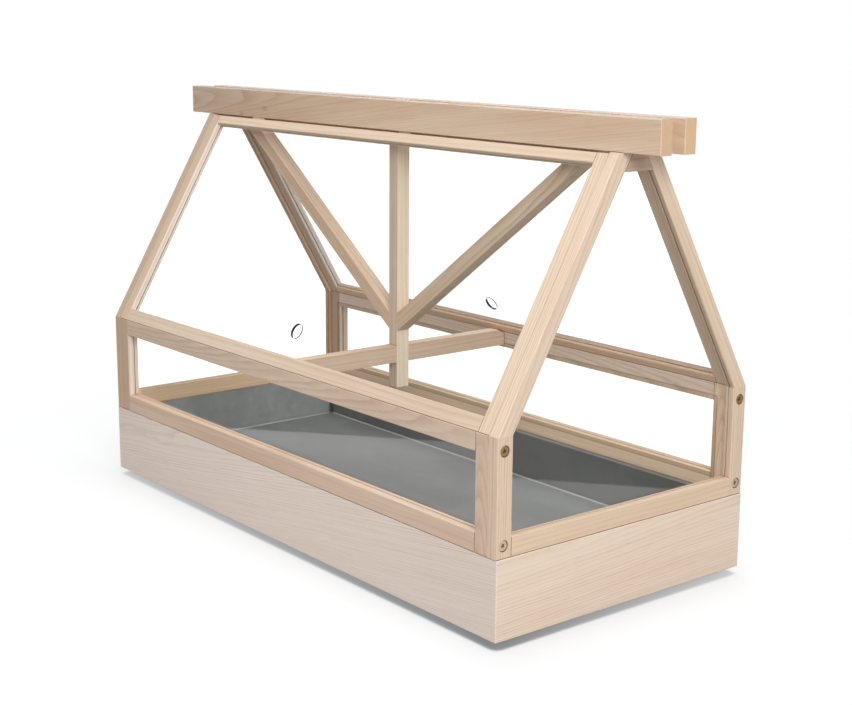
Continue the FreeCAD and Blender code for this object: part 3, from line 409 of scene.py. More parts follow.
def draw_grain(settings):
    """The grain of ash as a node group that every board shares, drawn on first use.

    Its position runs along the trunk in X, and the trunk's heart is at Y = Z = 0. The distance from
    the heart, bent by slow noise, is counted in rings. Each ring starts with a sharp band of open
    pores that fades into smooth latewood. Fine noise drawn out along X makes the fibres and pores.
    """
    group = bpy.data.node_groups.new(GRAIN, "ShaderNodeTree")
    for way, sockets in (("INPUT", GRAIN_INPUTS), ("OUTPUT", GRAIN_OUTPUTS)):
        for name, kind in sockets.items():
            group.interface.new_socket(name, in_out=way, socket_type=f"NodeSocket{kind}")
    tree = Tree(group)
    given = group.nodes.new("NodeGroupInput").outputs
    result = group.nodes.new("NodeGroupOutput").inputs
    position = given["Position"]

    # Rings: the bent distance from the heart in ring widths, and slow noise for uneven years
    bent = position
    for stretch, reach, detail in BENDS:
        drift = tree.noise(position, stretch, detail, "Color")
        drift = tree.vector("SUBTRACT", drift, (0.5, 0.5, 0.5))
        bent = tree.vector("ADD", bent, tree.vector("MULTIPLY", drift, (0, reach, reach)))
    radius = tree.length(tree.vector("MULTIPLY", bent, (0, 1, 1)))
    turns, unevenness = UNEVEN_YEARS
    slow = tree.add("ShaderNodeTexNoise", {
        "W": tree.product(radius, turns), "Scale": 1.0, "Detail": 1.0,
    }, noise_dimensions="1D")
    rings = tree.plus(tree.sum("DIVIDE", radius, given["Ring"]), slow, unevenness)
    phase = tree.sum("FRACT", rings)
    year = tree.add("ShaderNodeTexWhiteNoise", {"W": tree.sum("FLOOR", rings)},
                    noise_dimensions="1D")
    fade = tree.sum("POWER", tree.spread(phase, *BAND_FADE, 1.0, 0.0), BAND_POWER)
    rise = tree.spread(phase, 0.0, BAND_FULL, smooth=True)
    band = tree.product(fade, rise, tree.spread(year, 0.0, 1.0, POOREST_YEAR, 1.0))

    # Streaks, and pores where a band is
    hair, fibre, ribbon, cloud, patch = (
        tree.noise(position, *layer) for layer in (HAIRS, FIBRES, RIBBONS, CLOUDS, PATCHES)
    )
    streak = tree.spread(fibre, *STREAK_VALUES)
    pores = tree.product(tree.spread(hair, *PORE_VALUES), tree.spread(band, 0.05, 0.5))

    # How much of each shows
    patch = tree.spread(patch, *PATCH_VALUES, *PATCH_STRENGTHS)
    rings_seen = tree.product(band, patch, given["Contrast"], settings.ring_depth)
    fibres_seen = tree.plus(pores, streak, STREAK_SHARE)
    fibres_seen = tree.product(fibres_seen, given["Contrast"], settings.fibre_depth)
    shade = tree.sum("ADD", rings_seen, fibres_seen, clamp=True)
    drifts = tree.plus(tree.product(cloud, CLOUD_SHARE), ribbon, 1 - CLOUD_SHARE)
    warm = tree.product(tree.spread(drifts, *WARM_VALUES), given["Warmth"])

    # Colour: latewood, warm streaks, earlywood, sawn ends, the piece's own tone, knots, joints
    body = tree.blend(warm, settings.latewood, settings.heart)
    body = tree.blend(shade, body, settings.earlywood)
    sawn = tree.product(rings_seen, SAWN_SHARE)
    sawn = tree.blend(sawn, settings.end_grain, settings.earlywood)
    body = tree.blend(tree.product(given["End"], SAWN_SHARE), body, sawn)
    body = tree.vector("MULTIPLY", body, given["Tone"])
    body = tree.blend(given["Knot"], body, settings.knot)
    dark = tree.product(given["Joint"], settings.joint_depth)
    group.links.new(tree.blend(dark, body, settings.joint), result["Colour"])

    rough = tree.plus(settings.roughness, shade, DARK_ROUGHNESS)
    group.links.new(rough, result["Rough"])
    height = tree.sum("SUBTRACT", 1.0, tree.plus(shade, hair, HAIR_HEIGHT))
    group.links.new(height, result["Height"])
    return group


def bead_marks(tree, settings, window, face):
    """The painted shade of a glazing bead round an opening, as a darker strip, and its seam, a dark
    line that is partly the painted shadow of the bead's step, both on the inner face only.

    The distance out from the opening is the larger of the distances past its half sizes, so that
    the strip is even and has square corners.
    """
    middle, half_size = window
    off = tree.vector("ABSOLUTE", tree.vector("SUBTRACT", tree.here(), middle))
    off = tree.split(tree.vector("SUBTRACT", off, half_size))
    out = tree.sum("MAXIMUM", off["X"], off["Z"])
    inner = tree.spread(tree.facing(-face), *ONE_FACE)
    width = settings.bead_width
    strip = tree.spread(out, width + BEAD_BLUR, width - BEAD_BLUR)
    seam = tree.line(tree.sum("SUBTRACT", out, width), *SEAM_HALF_WIDTHS, settings.seam_depth)
    return tree.product(strip, inner), tree.product(seam, inner)


def ash(name, along, face, seed, heart=(0.03, 0.02), ring=0.0025, warmth=0.5, contrast=0.8,
        tone=WHITE, lean=0.01, yaw=0.01, edge=WHITE, ends=(1, 1), joints=1.0, reach=0.014,
        knots=(), window=None, glazed=None):
    """Ash for one piece of wood.

    along is the direction of its length and face that of its broad face. seed says where along the
    trunk it is sawn. heart is how far the trunk's middle lies behind the face and how far to its
    side. ring is the width of a ring. lean tips the trunk out of the face, so that the rings run
    out in arches, and yaw turns it in the face, so that they cross it. edge is painted light and
    shade on the narrow faces: how much lighter they are painted than the broad ones. ends is how
    light the two ends are against the middle. The grain darkens in joints, where a neighbour is
    within a millimetre or so, as strongly as joints says, and takes a little painted shade in
    corners, as far as reach. knots are places of pin knots, each with its radius. window is the
    middle and half size of an opening whose pane a flush bead holds on the inside; the bead's strip
    is darkened with painted shade and bounded by a dark seam. glazed is the direction that the
    narrow face with the glass looks, along which a painted shadow line runs beside the glass.
    """
    settings = bpy.context.scene.greenhouse_ash
    material, tree = new_material(name)
    along = Vector(along).normalized()
    face = Vector(face).normalized()
    side = along.cross(face)
    low, high = (Vector(corner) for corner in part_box(name))

    # The piece's place in its trunk
    here = tree.vector("SUBTRACT", tree.here(), tuple((low + high) / 2))
    tip = Matrix.Rotation(lean, 3, "Z") @ Matrix.Rotation(yaw, 3, "Y")
    position = tree.add("ShaderNodeMapping", {
        "Vector": here, "Rotation": (tip @ Matrix((along, face, side))).to_euler(),
        "Location": (SEED_STEP * seed + SEED_START, *heart),
    })
    end = tree.spread(tree.facing_either(along), *SAWN_FACE)

    # Its tone: painted light and shade on the narrow faces, painted shade in corners, and ends
    # against the middle
    tone = tree.stain(tone, tree.spread(tree.facing_either(side), *NARROW_FACE), edge)
    corner = tree.spread(tree.openness(reach, samples=4), *CORNER_SHADE_OPENNESS)
    tone = tree.stain(tone, corner, settings.corner)
    half = sum(abs(part) * (far - near) / 2 for part, near, far in zip(along, low, high))
    run = tree.dot(here, along / half)
    for limit, light in zip((-1, 1), ends):
        near_end = tree.spread(run, END_START * limit, END_FULL * limit)
        tone = tree.stain(tone, near_end, (light, light, light))

    # Its dark lines: joints, the bead's seam, partly a painted shadow, and the painted shadow line
    # along the glass
    joint = tree.openness(settings.joint_reach, samples=6)
    joint = tree.spread(joint, *JOINT_OPENNESS, smooth=True)
    joint = tree.sum("MULTIPLY", joint, joints, clamp=True)
    if window:
        strip, seam = bead_marks(tree, settings, window, face)
        tone = tree.stain(tone, strip, settings.bead)
        joint = tree.sum("MAXIMUM", joint, seam)
    if glazed:
        line = tree.sum("SUBTRACT", tree.dot(here, face), LINE_OFFSET)
        line = tree.line(line, *LINE_HALF_WIDTHS, settings.glass_shadow_line_depth)
        line = tree.product(line, tree.spread(tree.facing(glazed), *ONE_FACE))
        joint = tree.sum("MAXIMUM", joint, line)
    knot = 0.0
    for *centre, size in knots:
        near = tree.vector("SUBTRACT", tree.here(), tuple(centre))
        near = tree.length(tree.vector("MULTIPLY", near, KNOT_STRETCH))
        spot = tree.spread(near, size, size * KNOT_MIDDLE, 0.0, settings.knot_depth, smooth=True)
        knot = tree.sum("ADD", knot, spot)

    group = bpy.data.node_groups.get(GRAIN) or draw_grain(settings)
    grain = tree.add("ShaderNodeGroup", node_tree=group).node
    for key, source in (
        ("Position", position), ("End", end), ("Joint", joint), ("Knot", knot),
        ("Ring", ring * settings.ring_scale), ("Warmth", warmth), ("Contrast", contrast),
        ("Tone", tone),
    ):
        tree.feed(grain.inputs[key], source)
    relief = tree.add("ShaderNodeBump", {
        "Height": grain.outputs["Height"], "Strength": settings.relief,
        "Distance": settings.pore_depth,
    })
    finish_surface(tree, tree.add("ShaderNodeBsdfPrincipled", {
        "Base Color": grain.outputs["Colour"], "Roughness": grain.outputs["Rough"],
        "Normal": relief, "Specular IOR Level": settings.shine,
    }))
    coat(material, name)


def opening(side):
    """The middle and half size of a long frame's opening, measured on its members."""
    parts = ("left_stile", "right_stile", "bottom_rail", "top_rail")
    box = {part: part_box(f"{side}_frame_{part}") for part in parts}
    low = (box["left_stile"][1][0], 0, box["bottom_rail"][1][2])
    high = (box["right_stile"][0][0], 0, box["top_rail"][0][2])
    middle = tuple((near + far) / 2 for near, far in zip(low, high))
    return middle, tuple((far - near) / 2 for near, far in zip(low, high))


# The ash pieces, with the grain of each board

class GREENHOUSE_OT_base(bpy.types.Operator):
    """Finish the four boards of the box and the blocks in its corners"""

    bl_idname = "greenhouse.base"
    bl_label = "Base Box"

    def execute(self, context):
        ash("base_front_board", ALONG, FORWARD, seed=3, heart=(0.045, 0.050), ring=0.0014,
            warmth=0.20, contrast=0.75, tone=(1.10, 1.19, 1.38), yaw=-0.12, ends=(0.96, 0.95),
            joints=4.0)
        ash("base_back_board", ALONG, BACKWARD, seed=9, heart=(0.050, -0.035), ring=0.0030,
            warmth=0.30, contrast=0.55, tone=(1.0, 1.02, 1.06))
        ash("base_right_board", DEEP, RIGHTWARD, seed=5, heart=(0.060, 0.055), ring=0.0019,
            warmth=0.35, tone=(1.07, 1.09, 1.15), lean=0.020, yaw=-0.012, joints=4.0)
        ash("base_left_board", DEEP, LEFTWARD, seed=8, heart=(0.036, -0.030), ring=0.0030,
            warmth=0.35, contrast=0.60, tone=(1.0, 1.02, 1.06))
        for index, corner in enumerate(("front_left", "front_right", "back_left", "back_right")):
            ash(f"{corner}_corner_block", ALONG, UP, seed=20 + index, heart=(0.03, 0.01 * index))
        return {"FINISHED"}


class GREENHOUSE_OT_frames(bpy.types.Operator):
    """Finish the long frames' stiles and rails"""

    bl_idname = "greenhouse.frames"
    bl_label = "Long Frames"

    # Each piece's tone, and that of the bottom rail's top and bottom faces: on the front rail a
    # painted highlight along its lit top lip
    TONES = {
        "front": {
            "right_stile": (0.91, 0.865, 0.85), "bottom_rail": (0.93, 0.90, 0.91),
            "top_rail": (0.93, 0.92, 0.94), "bottom_edge_painted_highlight": (1.20, 1.21, 1.20),
        },
        "back": {
            "right_stile": (1.08, 1.05, 1.03), "bottom_rail": (1.11, 1.09, 1.06),
            "top_rail": (1.07, 1.10, 1.17), "bottom_edge_painted_highlight": WHITE,
        },
    }

    def execute(self, context):
        for seed, side, face in ((30, "front", FORWARD), (40, "back", BACKWARD)):
            tones = self.TONES[side]
            window = opening(side)
            # Painted highlight: the left stile's lip by the glass is painted lighter, as the side
            # light catches it
            ash(f"{side}_frame_left_stile", UP, face, seed + 1, heart=(0.020, 0.035), ring=0.0022,
                warmth=0.6, contrast=0.9, tone=(0.80, 0.75, 0.72), edge=(1.45, 1.68, 1.90),
                window=window)
            ash(f"{side}_frame_right_stile", UP, face, seed + 2, heart=(0.016, 0.004), ring=0.0024,
                warmth=0.9, contrast=0.9, tone=tones["right_stile"], lean=0.09, yaw=0.02,
                window=window)
            ash(f"{side}_frame_bottom_rail", ALONG, face, seed + 3, heart=(0.050, 0.030),
                ring=0.0026, warmth=0.7, contrast=0.5, tone=tones["bottom_rail"],
                edge=tones["bottom_edge_painted_highlight"], joints=1.5, window=window)
            ash(f"{side}_frame_top_rail", ALONG, face, seed + 4, heart=(0.018, 0.010), ring=0.0026,
                contrast=0.9, tone=tones["top_rail"], lean=0.05, joints=2.0, window=window)
        return {"FINISHED"}


class GREENHOUSE_OT_gables(bpy.types.Operator):
    """Finish the gables' posts, rafters, sills and apex blocks"""

    bl_idname = "greenhouse.gables"
    bl_label = "Gables"

    # Each piece's tone. The left gable's are partly painted light and shade, for how the lamps fall
    # on its faces: its posts and front rafter painted darker, its back rafter and bottom rail
    # lighter. The right back rafter's narrow faces are painted darker.
    TONES = {
        "right": {
            "post": WHITE, "front_rafter": (1.02, 1.02, 1.03), "back_rafter": (1.02, 1.02, 1.0),
            "back_rafter_edge_painted_shade": (0.76, 0.74, 0.72), "bottom_rail": (1, 0.98, 0.95),
        },
        "left": {
            "post": (0.85, 0.77, 0.70), "front_rafter": (0.74, 0.72, 0.72),
            "back_rafter": (1.11, 1.04, 0.94), "back_rafter_edge_painted_shade": WHITE,
            "bottom_rail": (1.12, 1.06, 0.92),
        },
    }

    def execute(self, context):
        for seed, side, face in ((50, "right", RIGHTWARD), (60, "left", LEFTWARD)):
            tones = self.TONES[side]
            ash(f"{side}_gable_front_post", UP, face, seed + 1, heart=(0.020, 0.040), ring=0.0020,
                warmth=0.4, contrast=1.5, tone=tones["post"])
            ash(f"{side}_gable_back_post", UP, face, seed + 2, heart=(0.025, 0.030), ring=0.0022,
                contrast=1.3, tone=tones["post"])
            ash(f"{side}_gable_front_rafter", SLOPES["front"], face, seed + 3,
                heart=(0.022, 0.012), ring=0.0026, warmth=0.30, contrast=0.9,
                tone=tones["front_rafter"], lean=0.03, joints=0.0, glazed=INWARD["front"])
            ash(f"{side}_gable_back_rafter", SLOPES["back"], face, seed + 4, heart=(0.028, 0.030),
                ring=0.0026, warmth=0.6, contrast=0.9, tone=tones["back_rafter"],
                edge=tones["back_rafter_edge_painted_shade"], joints=1.5, reach=0.006, glazed=INWARD["back"])
            ash(f"{side}_gable_bottom_rail", DEEP, face, seed + 5, heart=(0.045, 0.030),
                ring=0.0022, tone=tones["bottom_rail"])
            # Painted shade: the apex blocks are painted darker, as the ridge beams' overhang shades
            # them
            ash(f"{side}_gable_apex_block", DEEP, face, seed + 6, heart=(0.030, 0.014),
                ring=0.0024, warmth=0.8, contrast=1.0, tone=(0.76, 0.73, 0.71))
        return {"FINISHED"}


class GREENHOUSE_OT_ridge(bpy.types.Operator):
    """Finish the two ridge beams"""

    bl_idname = "greenhouse.ridge"
    bl_label = "Ridge Beams"

    def execute(self, context):
        # Painted light and shade: each beam's top and underside are painted cooler than its front,
        # for how the light falls on them
        ash("front_ridge_beam", ALONG, FORWARD, seed=71, heart=(0.030, 0.032), ring=0.0022,
            warmth=0.9, contrast=0.7, tone=(0.98, 0.96, 0.94), lean=0.030, yaw=-0.09,
            edge=(0.84, 0.97, 1.18), ends=(0.82, 1.02),
            knots=((-0.2324, -0.0227, 0.4498, 0.0042), (-0.2832, -0.0227, 0.4413, 0.0036)))
        ash("back_ridge_beam", ALONG, BACKWARD, seed=74, heart=(0.040, 0.020), ring=0.0030,
            warmth=0.8, contrast=0.7, tone=(1.04, 1.00, 0.96), lean=0.05, yaw=0.02,
            edge=(0.80, 0.93, 1.16))
        return {"FINISHED"}


class GREENHOUSE_OT_truss(bpy.types.Operator):
    """Finish the king post, the tie beam and the braces"""

    bl_idname = "greenhouse.truss"
    bl_label = "Truss"

    def execute(self, context):
        right = (math.cos(BRACE_PITCH), 0, math.sin(BRACE_PITCH))
        left = (-math.cos(BRACE_PITCH), 0, math.sin(BRACE_PITCH))
        # Painted light and shade: the king post's sides are painted lighter than its front, where
        # the side light falls, the left brace's top and underside a little lighter, and the long
        # reach gives the king post's and braces' ends painted shade where beams and rails close
        # round them
        ash("king_post", UP, FORWARD, seed=81, heart=(0.030, 0.025), ring=0.0030, warmth=0.6,
            contrast=0.5, tone=(0.96, 0.965, 1.0), edge=(1.28, 1.38, 1.38), reach=0.035)
        ash("tie_beam", DEEP, RIGHTWARD, seed=82, heart=(0.030, 0.030), ring=0.0026, warmth=0.7,
            contrast=0.9)
        ash("right_brace", right, FORWARD, seed=83, heart=(0.026, 0.018), ring=0.0026, warmth=0.8,
            contrast=0.9, tone=(1.0, 1.03, 1.03), lean=0.02, yaw=0.02, reach=0.035)
        ash("left_brace", left, FORWARD, seed=84, heart=(0.020, 0.020), ring=0.0026, warmth=0.8,
            contrast=0.9, tone=(1.02, 0.97, 0.93), lean=0.02, yaw=0.02, edge=(0.97, 1.02, 1.08),
            reach=0.018)
        return {"FINISHED"}


class GREENHOUSE_OT_sashes(bpy.types.Operator):
    """Finish the roof sashes' stiles and rails"""

    bl_idname = "greenhouse.sashes"
    bl_label = "Roof Sashes"

    # Painted shade: the back bottom rail's narrow faces are painted darker, as behind the glass
    # they lie in shade
    BOTTOM_TONES = {
        "front": {"tone": (0.905, 0.905, 0.91), "edge": WHITE},
        "back": {"tone": (1.08, 0.98, 0.88), "edge": (0.60, 0.60, 0.64)},
    }

    def execute(self, context):
        for seed, side in ((90, "front"), (100, "back")):
            slope, face = SLOPES[side], OUTWARD[side]
            # Painted highlight: the left stile's lip by the glass is painted lighter, as the side
            # light catches it
            ash(f"{side}_sash_left_stile", slope, face, seed + 1, heart=(0.025, 0.025),
                ring=0.0024, contrast=0.9, tone=(0.90, 0.88, 0.87), edge=(1.32, 1.52, 1.80),
                joints=0.8)
            ash(f"{side}_sash_right_stile", slope, face, seed + 2, heart=(0.022, 0.018),
                ring=0.0024, contrast=0.9, lean=0.02, yaw=0.0, joints=0.0)
            ash(f"{side}_sash_bottom_rail", ALONG, face, seed + 3, heart=(0.045, 0.035),
                ring=0.0026, warmth=0.4, contrast=0.6, **self.BOTTOM_TONES[side])
            ash(f"{side}_sash_top_rail", ALONG, face, seed + 4, heart=(0.035, 0.025),
                ring=0.0024, warmth=0.4, contrast=0.6)
        return {"FINISHED"}


# Glass, zinc and fittings

class GREENHOUSE_OT_panes(bpy.types.Operator):
    """Finish the six panes of clear glass"""

    bl_idname = "greenhouse.panes"
    bl_label = "Panes"

    def execute(self, context):
        settings = context.scene.greenhouse_glass
        for name in NODES:
            if not name.endswith("_pane"):
                continue
            if "sash" in name:
                face = OUTWARD["front" if "front" in name else "back"]
            else:
                face = ALONG if "gable" in name else DEEP
            material, tree = new_material(name)
            broad = tree.spread(tree.facing_either(face), 0.5, 0.7)
            finish_surface(tree, tree.add("ShaderNodeBsdfPrincipled", {
                "Base Color": tree.blend(broad, settings.edge, settings.tint), "Roughness": 0.0,
                "IOR": settings.index, "Transmission Weight": broad,
            }))
            coat(material, name)
            # A pane keeps no light from the wood and the tray
            NODES[name].visible_shadow = False
            NODES[name].visible_diffuse = False
        return {"FINISHED"}


class GREENHOUSE_OT_tray(bpy.types.Operator):
    """Finish the galvanised tray"""

    bl_idname = "greenhouse.tray"
    bl_label = "Plant Tray"

    # How the clouds and the marks of wiping are stretched, what they and the crystals count in the
    # mottle, and the values of it between which the bloom comes in
    CLOUDS = (5, 5, 5)
    WIPES = (9, 26, 18)
    CLOUD_SHARE, WIPE_SHARE, CRYSTAL_SHARE = 0.7, 0.3, 0.14
    BLOOM_VALUES = (0.44, 0.66)
    # How squarely a wall looks sideways, where the painted light of an end wall and the painted
    # shade of a long wall come in, and how far up a bend looks, from wall to floor, where the
    # painted highlight along it starts and ends
    WALL_FACE = (0.7, 0.95)
    BEND_START = (0.10, 0.35)
    BEND_END = (0.97, 0.80)
    # How dark the upright seams are, how strong the painted shade in the corners is, and how open a
    # corner is where that shade starts and is full
    SEAM_STRENGTH = 0.75
    CORNER_SHADE_STRENGTH = 0.8
    CORNER_SHADE_OPENNESS = (0.42, 0.20)

    def execute(self, context):
        settings = context.scene.greenhouse_tray
        material, tree = new_material("galvanised_sheet")
        here = tree.here()

        # The zinc's crystals, its clouds and the marks of wiping
        crystals = tree.add("ShaderNodeTexVoronoi", {
            "Vector": here, "Scale": 1 / settings.spangle, "Randomness": 1.0,
        }, "Color")
        tone = tree.dot(crystals, (0.33, 0.33, 0.33))
        cloud = tree.noise(here, self.CLOUDS, detail=3.0)
        mottle = tree.product(cloud, self.CLOUD_SHARE)
        mottle = tree.plus(mottle, tree.noise(here, self.WIPES), self.WIPE_SHARE)
        mottle = tree.plus(mottle, tone, self.CRYSTAL_SHARE)
        bloom = tree.spread(mottle, *self.BLOOM_VALUES)
        skin = tree.blend(bloom, settings.zinc, settings.bloom)

        # Painted light and shade: end walls lighter, long walls darker, and a painted highlight
        # along the bends between floor and walls
        facing = tree.split(tree.vector("ABSOLUTE", tree.normal()))
        wall = tree.product(
            tree.spread(facing["X"], *self.WALL_FACE, 1.0, settings.end_wall_painted_light),
            tree.spread(facing["Y"], *self.WALL_FACE, 1.0, settings.side_wall_painted_shade),
        )
        wall = tree.add("ShaderNodeCombineXYZ", {0: wall, 1: wall, 2: wall})
        skin = tree.vector("MULTIPLY", skin, wall)
        bend = tree.product(
            tree.spread(facing["Z"], *self.BEND_START), tree.spread(facing["Z"], *self.BEND_END)
        )
        skin = tree.blend(bend, skin, settings.bend_highlight)

        # A dark line on the upright seams, and painted shade in the corners
        seam = tree.vector("SUBTRACT", tree.vector("ABSOLUTE", here), (*settings.inside, 0))
        seam = tree.length(tree.vector("MULTIPLY", seam, (1, 1, 0)))
        width = settings.seam_width
        seam = tree.spread(seam, width, width / 3, 0.0, self.SEAM_STRENGTH)
        skin = tree.blend(seam, skin, settings.seam)
        corner = tree.openness(settings.corner_shade_reach, samples=4)
        corner = tree.spread(corner, *self.CORNER_SHADE_OPENNESS, 0.0, self.CORNER_SHADE_STRENGTH)
        skin = tree.blend(corner, skin, settings.seam)

        rough = tree.plus(settings.roughness - 0.10, tone, 0.10)
        rough = tree.plus(rough, cloud, 0.12)
        relief = tree.add("ShaderNodeBump", {"Height": cloud, "Strength": 0.12, "Distance": 0.0006})
        finish_surface(tree, tree.add("ShaderNodeBsdfPrincipled", {
            "Base Color": skin, "Metallic": settings.metal, "Roughness": rough, "Normal": relief,
        }))
        coat(material, "plant_tray")
        return {"FINISHED"}


class GREENHOUSE_OT_fittings(bpy.types.Operator):
    """Finish the bolts, pins, dowels, pegs, feet and bottom panel"""

    bl_idname = "greenhouse.fittings"
    bl_label = "Fittings"

    # The values of the noise between which specks come in, and their tone on plain parts and brass
    SPECK_VALUES = (0.35, 0.70)
    SPECK_TONE = 0.72
    BRASS_SPECK = (0.7, 0.7, 0.7)
    # The values between which the roughness goes from its least to its most
    ROUGH_VALUES = (0.3, 0.7)
    BRASS_ROUGHNESS = (0.36, 0.52)
    BRASS_METAL = 0.40
    # How near a wall shades brass, and how open a place is where that starts and is full
    RECESS_REACH = 0.0025
    RECESS_OPENNESS = (0.70, 0.35)

    def execute(self, context):
        settings = context.scene.greenhouse_fittings
        coat(self.brass(settings), "connector_bolts")
        steel = self.plain("turned_steel", settings.steel, (300, 1500, 1500), 0.30, metal=1.0)
        coat(steel, "sash_pivot_pins")
        coat(self.plain("matt_rubber", settings.rubber, (700, 700, 700), 0.85), "feet")
        coat(self.plain("raw_plywood", settings.ply, (12, 260, 260), 0.75), "bottom_panel")
        beech = self.plain("raw_beech", settings.beech, (900, 900, 60), 0.65)
        coat(beech, "locating_pegs", "rafter_dowels")
        return {"FINISHED"}

    def plain(self, name, tint, grain, roughness, metal=0.0):
        """A material whose tone and roughness vary with noise of one stretch."""
        material, tree = new_material(name)
        speck = tree.noise(tree.here(), grain, detail=3.0)
        darker = tuple(part * self.SPECK_TONE for part in tint)
        skin = tree.blend(tree.spread(speck, *self.SPECK_VALUES), tint, darker)
        least, most = roughness * 0.85, min(roughness * 1.2, 1.0)
        rough = tree.spread(speck, *self.ROUGH_VALUES, least, most)
        relief = tree.add("ShaderNodeBump", {"Height": speck, "Strength": 0.15, "Distance": 0.0003})
        finish_surface(tree, tree.add("ShaderNodeBsdfPrincipled", {
            "Base Color": skin, "Metallic": metal, "Roughness": rough, "Normal": relief,
        }))
        return material

    def brass(self, settings):
        """Turned brass, duller on the upper bolts, with painted shade in the sockets and round the
        heads.
        """
        material, tree = new_material("turned_brass")
        here = tree.here()
        speck = tree.noise(here, (900, 900, 900), detail=3.0)
        upper = tree.spread(tree.dot(here, UP), settings.lower_bolts, settings.upper_bolts)
        skin = tree.blend(upper, settings.brass, settings.tarnished)
        skin = tree.stain(skin, tree.spread(speck, *self.SPECK_VALUES), self.BRASS_SPECK)
        recess = tree.openness(self.RECESS_REACH, samples=8)
        recess = tree.spread(recess, *self.RECESS_OPENNESS)
        skin = tree.blend(recess, skin, settings.socket)
        rough = tree.spread(speck, *self.ROUGH_VALUES, *self.BRASS_ROUGHNESS)
        finish_surface(tree, tree.add("ShaderNodeBsdfPrincipled", {
            "Base Color": skin, "Metallic": self.BRASS_METAL, "Roughness": rough,
        }))
        return material


# The stage

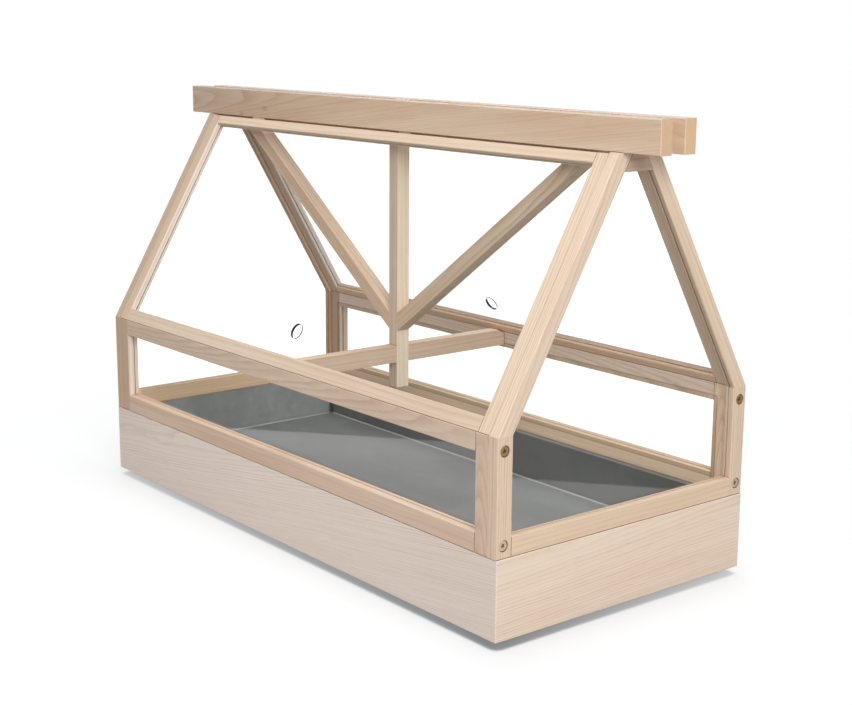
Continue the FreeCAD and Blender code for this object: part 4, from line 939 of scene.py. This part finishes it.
class GREENHOUSE_OT_stage(bpy.types.Operator):
    """Set up the floor, the light and the camera"""

    bl_idname = "greenhouse.stage"
    bl_label = "Stage"

    # Each soft box: its name, width, place and what it is aimed at
    SOFT_BOXES = (
        ("top", 1.3, (-0.1, 0.2, 2.4), (0, 0, 0)),
        ("side", 1.7, (2.9, -1.5, 1.8), (0, 0, 0.2)),
        ("front", 2.2, (0.2, -2.8, 1.6), (0, 0, 0.2)),
    )
    FLOOR_REACH = 6.0
    # How open the floor is where the painted contact shadow starts and is full. It fades to this
    # share between these distances from the near corner, where a step in depth counts as two along.
    GAP_OPENNESS = (0.74, 0.58)
    CONTACT_RUN = (0.02, 0.75)
    CONTACT_LEFT = 0.30
    CONTACT_STRETCH = (1, 2, 1)
    # The soft edge of the paper that mirrors show, on both sides of its half width
    PAPER_BLUR = 0.004
    # How far the camera sees
    SIGHT = 50.0

    def execute(self, context):
        settings = context.scene.greenhouse_stage
        self.lay_floor(context, settings)
        self.light_room(context, settings)
        for name, size, spot, aim in self.SOFT_BOXES:
            lamp = bpy.data.lights.new(f"{name}_light", "AREA")
            lamp.energy = getattr(settings, f"{name}_power")
            lamp.size = size
            holder = bpy.data.objects.new(f"{name}_light", lamp)
            holder.location = spot
            towards = Vector(aim) - Vector(spot)
            holder.rotation_euler = towards.to_track_quat("-Z", "Y").to_euler()
            context.collection.objects.link(holder)
        self.set_camera(context, settings)
        return {"FINISHED"}

    def lay_floor(self, context, settings):
        """A white floor that keeps shadows near the object and is plain white further out.

        Close under the box, most of all at its near corner, a painted contact shadow darkens it to
        the contact colour. In mirrors it is a sheet of paper of its own width, with the dim room
        beside it.
        """
        mesh = bpy.data.meshes.new("floor")
        corners = ((-1, -1), (1, -1), (1, 1), (-1, 1))
        reach = self.FLOOR_REACH
        mesh.from_pydata([(x * reach, y * reach, 0) for x, y in corners], [], [(0, 1, 2, 3)])
        floor = bpy.data.objects.new("floor", mesh)
        context.collection.objects.link(floor)
        material, tree = new_material("white_paper")
        here = tree.here()
        eye, glass, mirror = self.sort_rays(tree)
        looked_at = tree.sum("ADD", eye, glass)

        # The painted contact shadow close under the box, and the lit and the plain white floor
        gap = tree.openness(settings.gap_reach, samples=16)
        gap = tree.spread(gap, *self.GAP_OPENNESS, smooth=True)
        corner = tree.vector("SUBTRACT", here, settings.near_corner)
        corner = tree.length(tree.vector("MULTIPLY", corner, self.CONTACT_STRETCH))
        weaker = tree.spread(corner, *self.CONTACT_RUN, 1.0, self.CONTACT_LEFT)
        under = tree.product(gap, weaker)
        shaded = tree.blend(under, settings.paper, settings.contact)
        lit = tree.blend(looked_at, settings.bounce, shaded)
        lit = tree.add("ShaderNodeBsdfDiffuse", {"Color": lit})
        strength = tree.plus(eye, glass, settings.behind_glass)
        white = tree.add("ShaderNodeEmission", {
            "Color": tree.blend(under, WHITE, settings.contact), "Strength": strength,
        })
        beyond = tree.spread(tree.length(here), settings.shadow_reach, settings.white_reach,
                             settings.glow, 1.0, smooth=True)
        seen = tree.product(looked_at, beyond)
        plain = tree.add("ShaderNodeMixShader", {0: seen, 1: lit, 2: white})

        # What mirrors show in its place
        right = (math.cos(settings.heading), math.sin(settings.heading), 0)
        across = tree.sum("SUBTRACT", tree.dot(here, right), settings.paper_shift)
        half = settings.paper_half_width
        on_paper = tree.spread(tree.sum("ABSOLUTE", across), half - self.PAPER_BLUR,
                               half + self.PAPER_BLUR, settings.sheen, settings.room)
        mirrored = tree.add("ShaderNodeEmission", {"Color": WHITE, "Strength": on_paper})
        surface = tree.add("ShaderNodeMixShader", {0: mirror, 1: plain, 2: mirrored})
        finish_surface(tree, surface)
        mesh.materials.append(material)

    def sort_rays(self, tree):
        """Tell rays from the eye, rays through glass and mirrored rays apart.

        A ray that glass bends counts as glossy too, so a mirrored one is told by its glossy depth.
        """
        rays = tree.nodes.new("ShaderNodeLightPath").outputs
        mirror = tree.sum("MINIMUM", rays["Glossy Depth"], 1.0)
        straight = tree.sum("SUBTRACT", 1.0, mirror)
        glass = tree.product(rays["Is Transmission Ray"], straight)
        return rays["Is Camera Ray"], glass, mirror

    def light_room(self, context, settings):
        """White for the eye and through glass, dim for mirrors, soft light for all else."""
        world = bpy.data.worlds.new("white_room")
        world.use_nodes = True
        world.node_tree.nodes.clear()
        tree = Tree(world.node_tree)
        eye, glass, mirror = self.sort_rays(tree)
        around = tree.add("ShaderNodeBackground", {"Color": WHITE, "Strength": settings.dome})
        for rays, strength in (
            (mirror, settings.room), (glass, settings.behind_glass), (eye, 1.0),
        ):
            shown = tree.add("ShaderNodeBackground", {"Color": WHITE, "Strength": strength})
            around = tree.add("ShaderNodeMixShader", {0: rays, 1: around, 2: shown})
        tree.add("ShaderNodeOutputWorld", {"Surface": around})
        context.scene.world = world

    def set_camera(self, context, settings):
        """The photograph's viewpoint: heading turns left from +Y, pitch tilts down, roll leans."""
        camera = bpy.data.cameras.new("camera")
        camera.lens = settings.focal_length
        camera.clip_end = self.SIGHT
        holder = bpy.data.objects.new("camera", camera)
        aim = Matrix.Rotation(settings.heading, 4, "Z")
        aim = aim @ Matrix.Rotation(math.pi / 2 - settings.pitch, 4, "X")
        aim = aim @ Matrix.Rotation(settings.roll, 4, "Z")
        holder.matrix_world = Matrix.Translation(settings.viewpoint) @ aim
        context.collection.objects.link(holder)
        context.scene.camera = holder


# The add-on

STEPS = (
    GREENHOUSE_OT_base,
    GREENHOUSE_OT_frames,
    GREENHOUSE_OT_gables,
    GREENHOUSE_OT_ridge,
    GREENHOUSE_OT_truss,
    GREENHOUSE_OT_sashes,
    GREENHOUSE_OT_panes,
    GREENHOUSE_OT_tray,
    GREENHOUSE_OT_fittings,
    GREENHOUSE_OT_stage,
)
GROUPS = (
    ("greenhouse_ash", AshSettings),
    ("greenhouse_tray", TraySettings),
    ("greenhouse_glass", GlassSettings),
    ("greenhouse_fittings", FittingSettings),
    ("greenhouse_stage", StageSettings),
)


class GREENHOUSE_PT_panel(bpy.types.Panel):
    """Sizes, colours and steps of the mini greenhouse"""

    bl_idname = "GREENHOUSE_PT_panel"
    bl_label = "Mini Greenhouse"
    bl_space_type = "VIEW_3D"
    bl_region_type = "UI"
    bl_category = "Greenhouse"

    def draw(self, context):
        for attribute, kind in GROUPS:
            box = self.layout.box()
            box.label(text=kind.__doc__)
            for name in kind.__annotations__:
                box.prop(getattr(context.scene, attribute), name)
        for step in STEPS:
            self.layout.operator(step.bl_idname)


def register():
    """Make settings, operators and panel known to Blender."""
    for attribute, kind in GROUPS:
        bpy.utils.register_class(kind)
        setattr(bpy.types.Scene, attribute, PointerProperty(type=kind))
    for kind in (*STEPS, GREENHOUSE_PT_panel):
        bpy.utils.register_class(kind)


def unregister():
    """Take them out again, the last one first."""
    for kind in (GREENHOUSE_PT_panel, *reversed(STEPS)):
        bpy.utils.unregister_class(kind)
    for attribute, kind in reversed(GROUPS):
        delattr(bpy.types.Scene, attribute)
        bpy.utils.unregister_class(kind)


def main():
    """Register, set the view transform to Standard and run each step in order."""
    register()
    bpy.context.scene.view_settings.view_transform = "Standard"
    for step in STEPS:
        area, name = step.bl_idname.split(".")
        getattr(getattr(bpy.ops, area), name)()


if __name__ == "__main__":
    main()
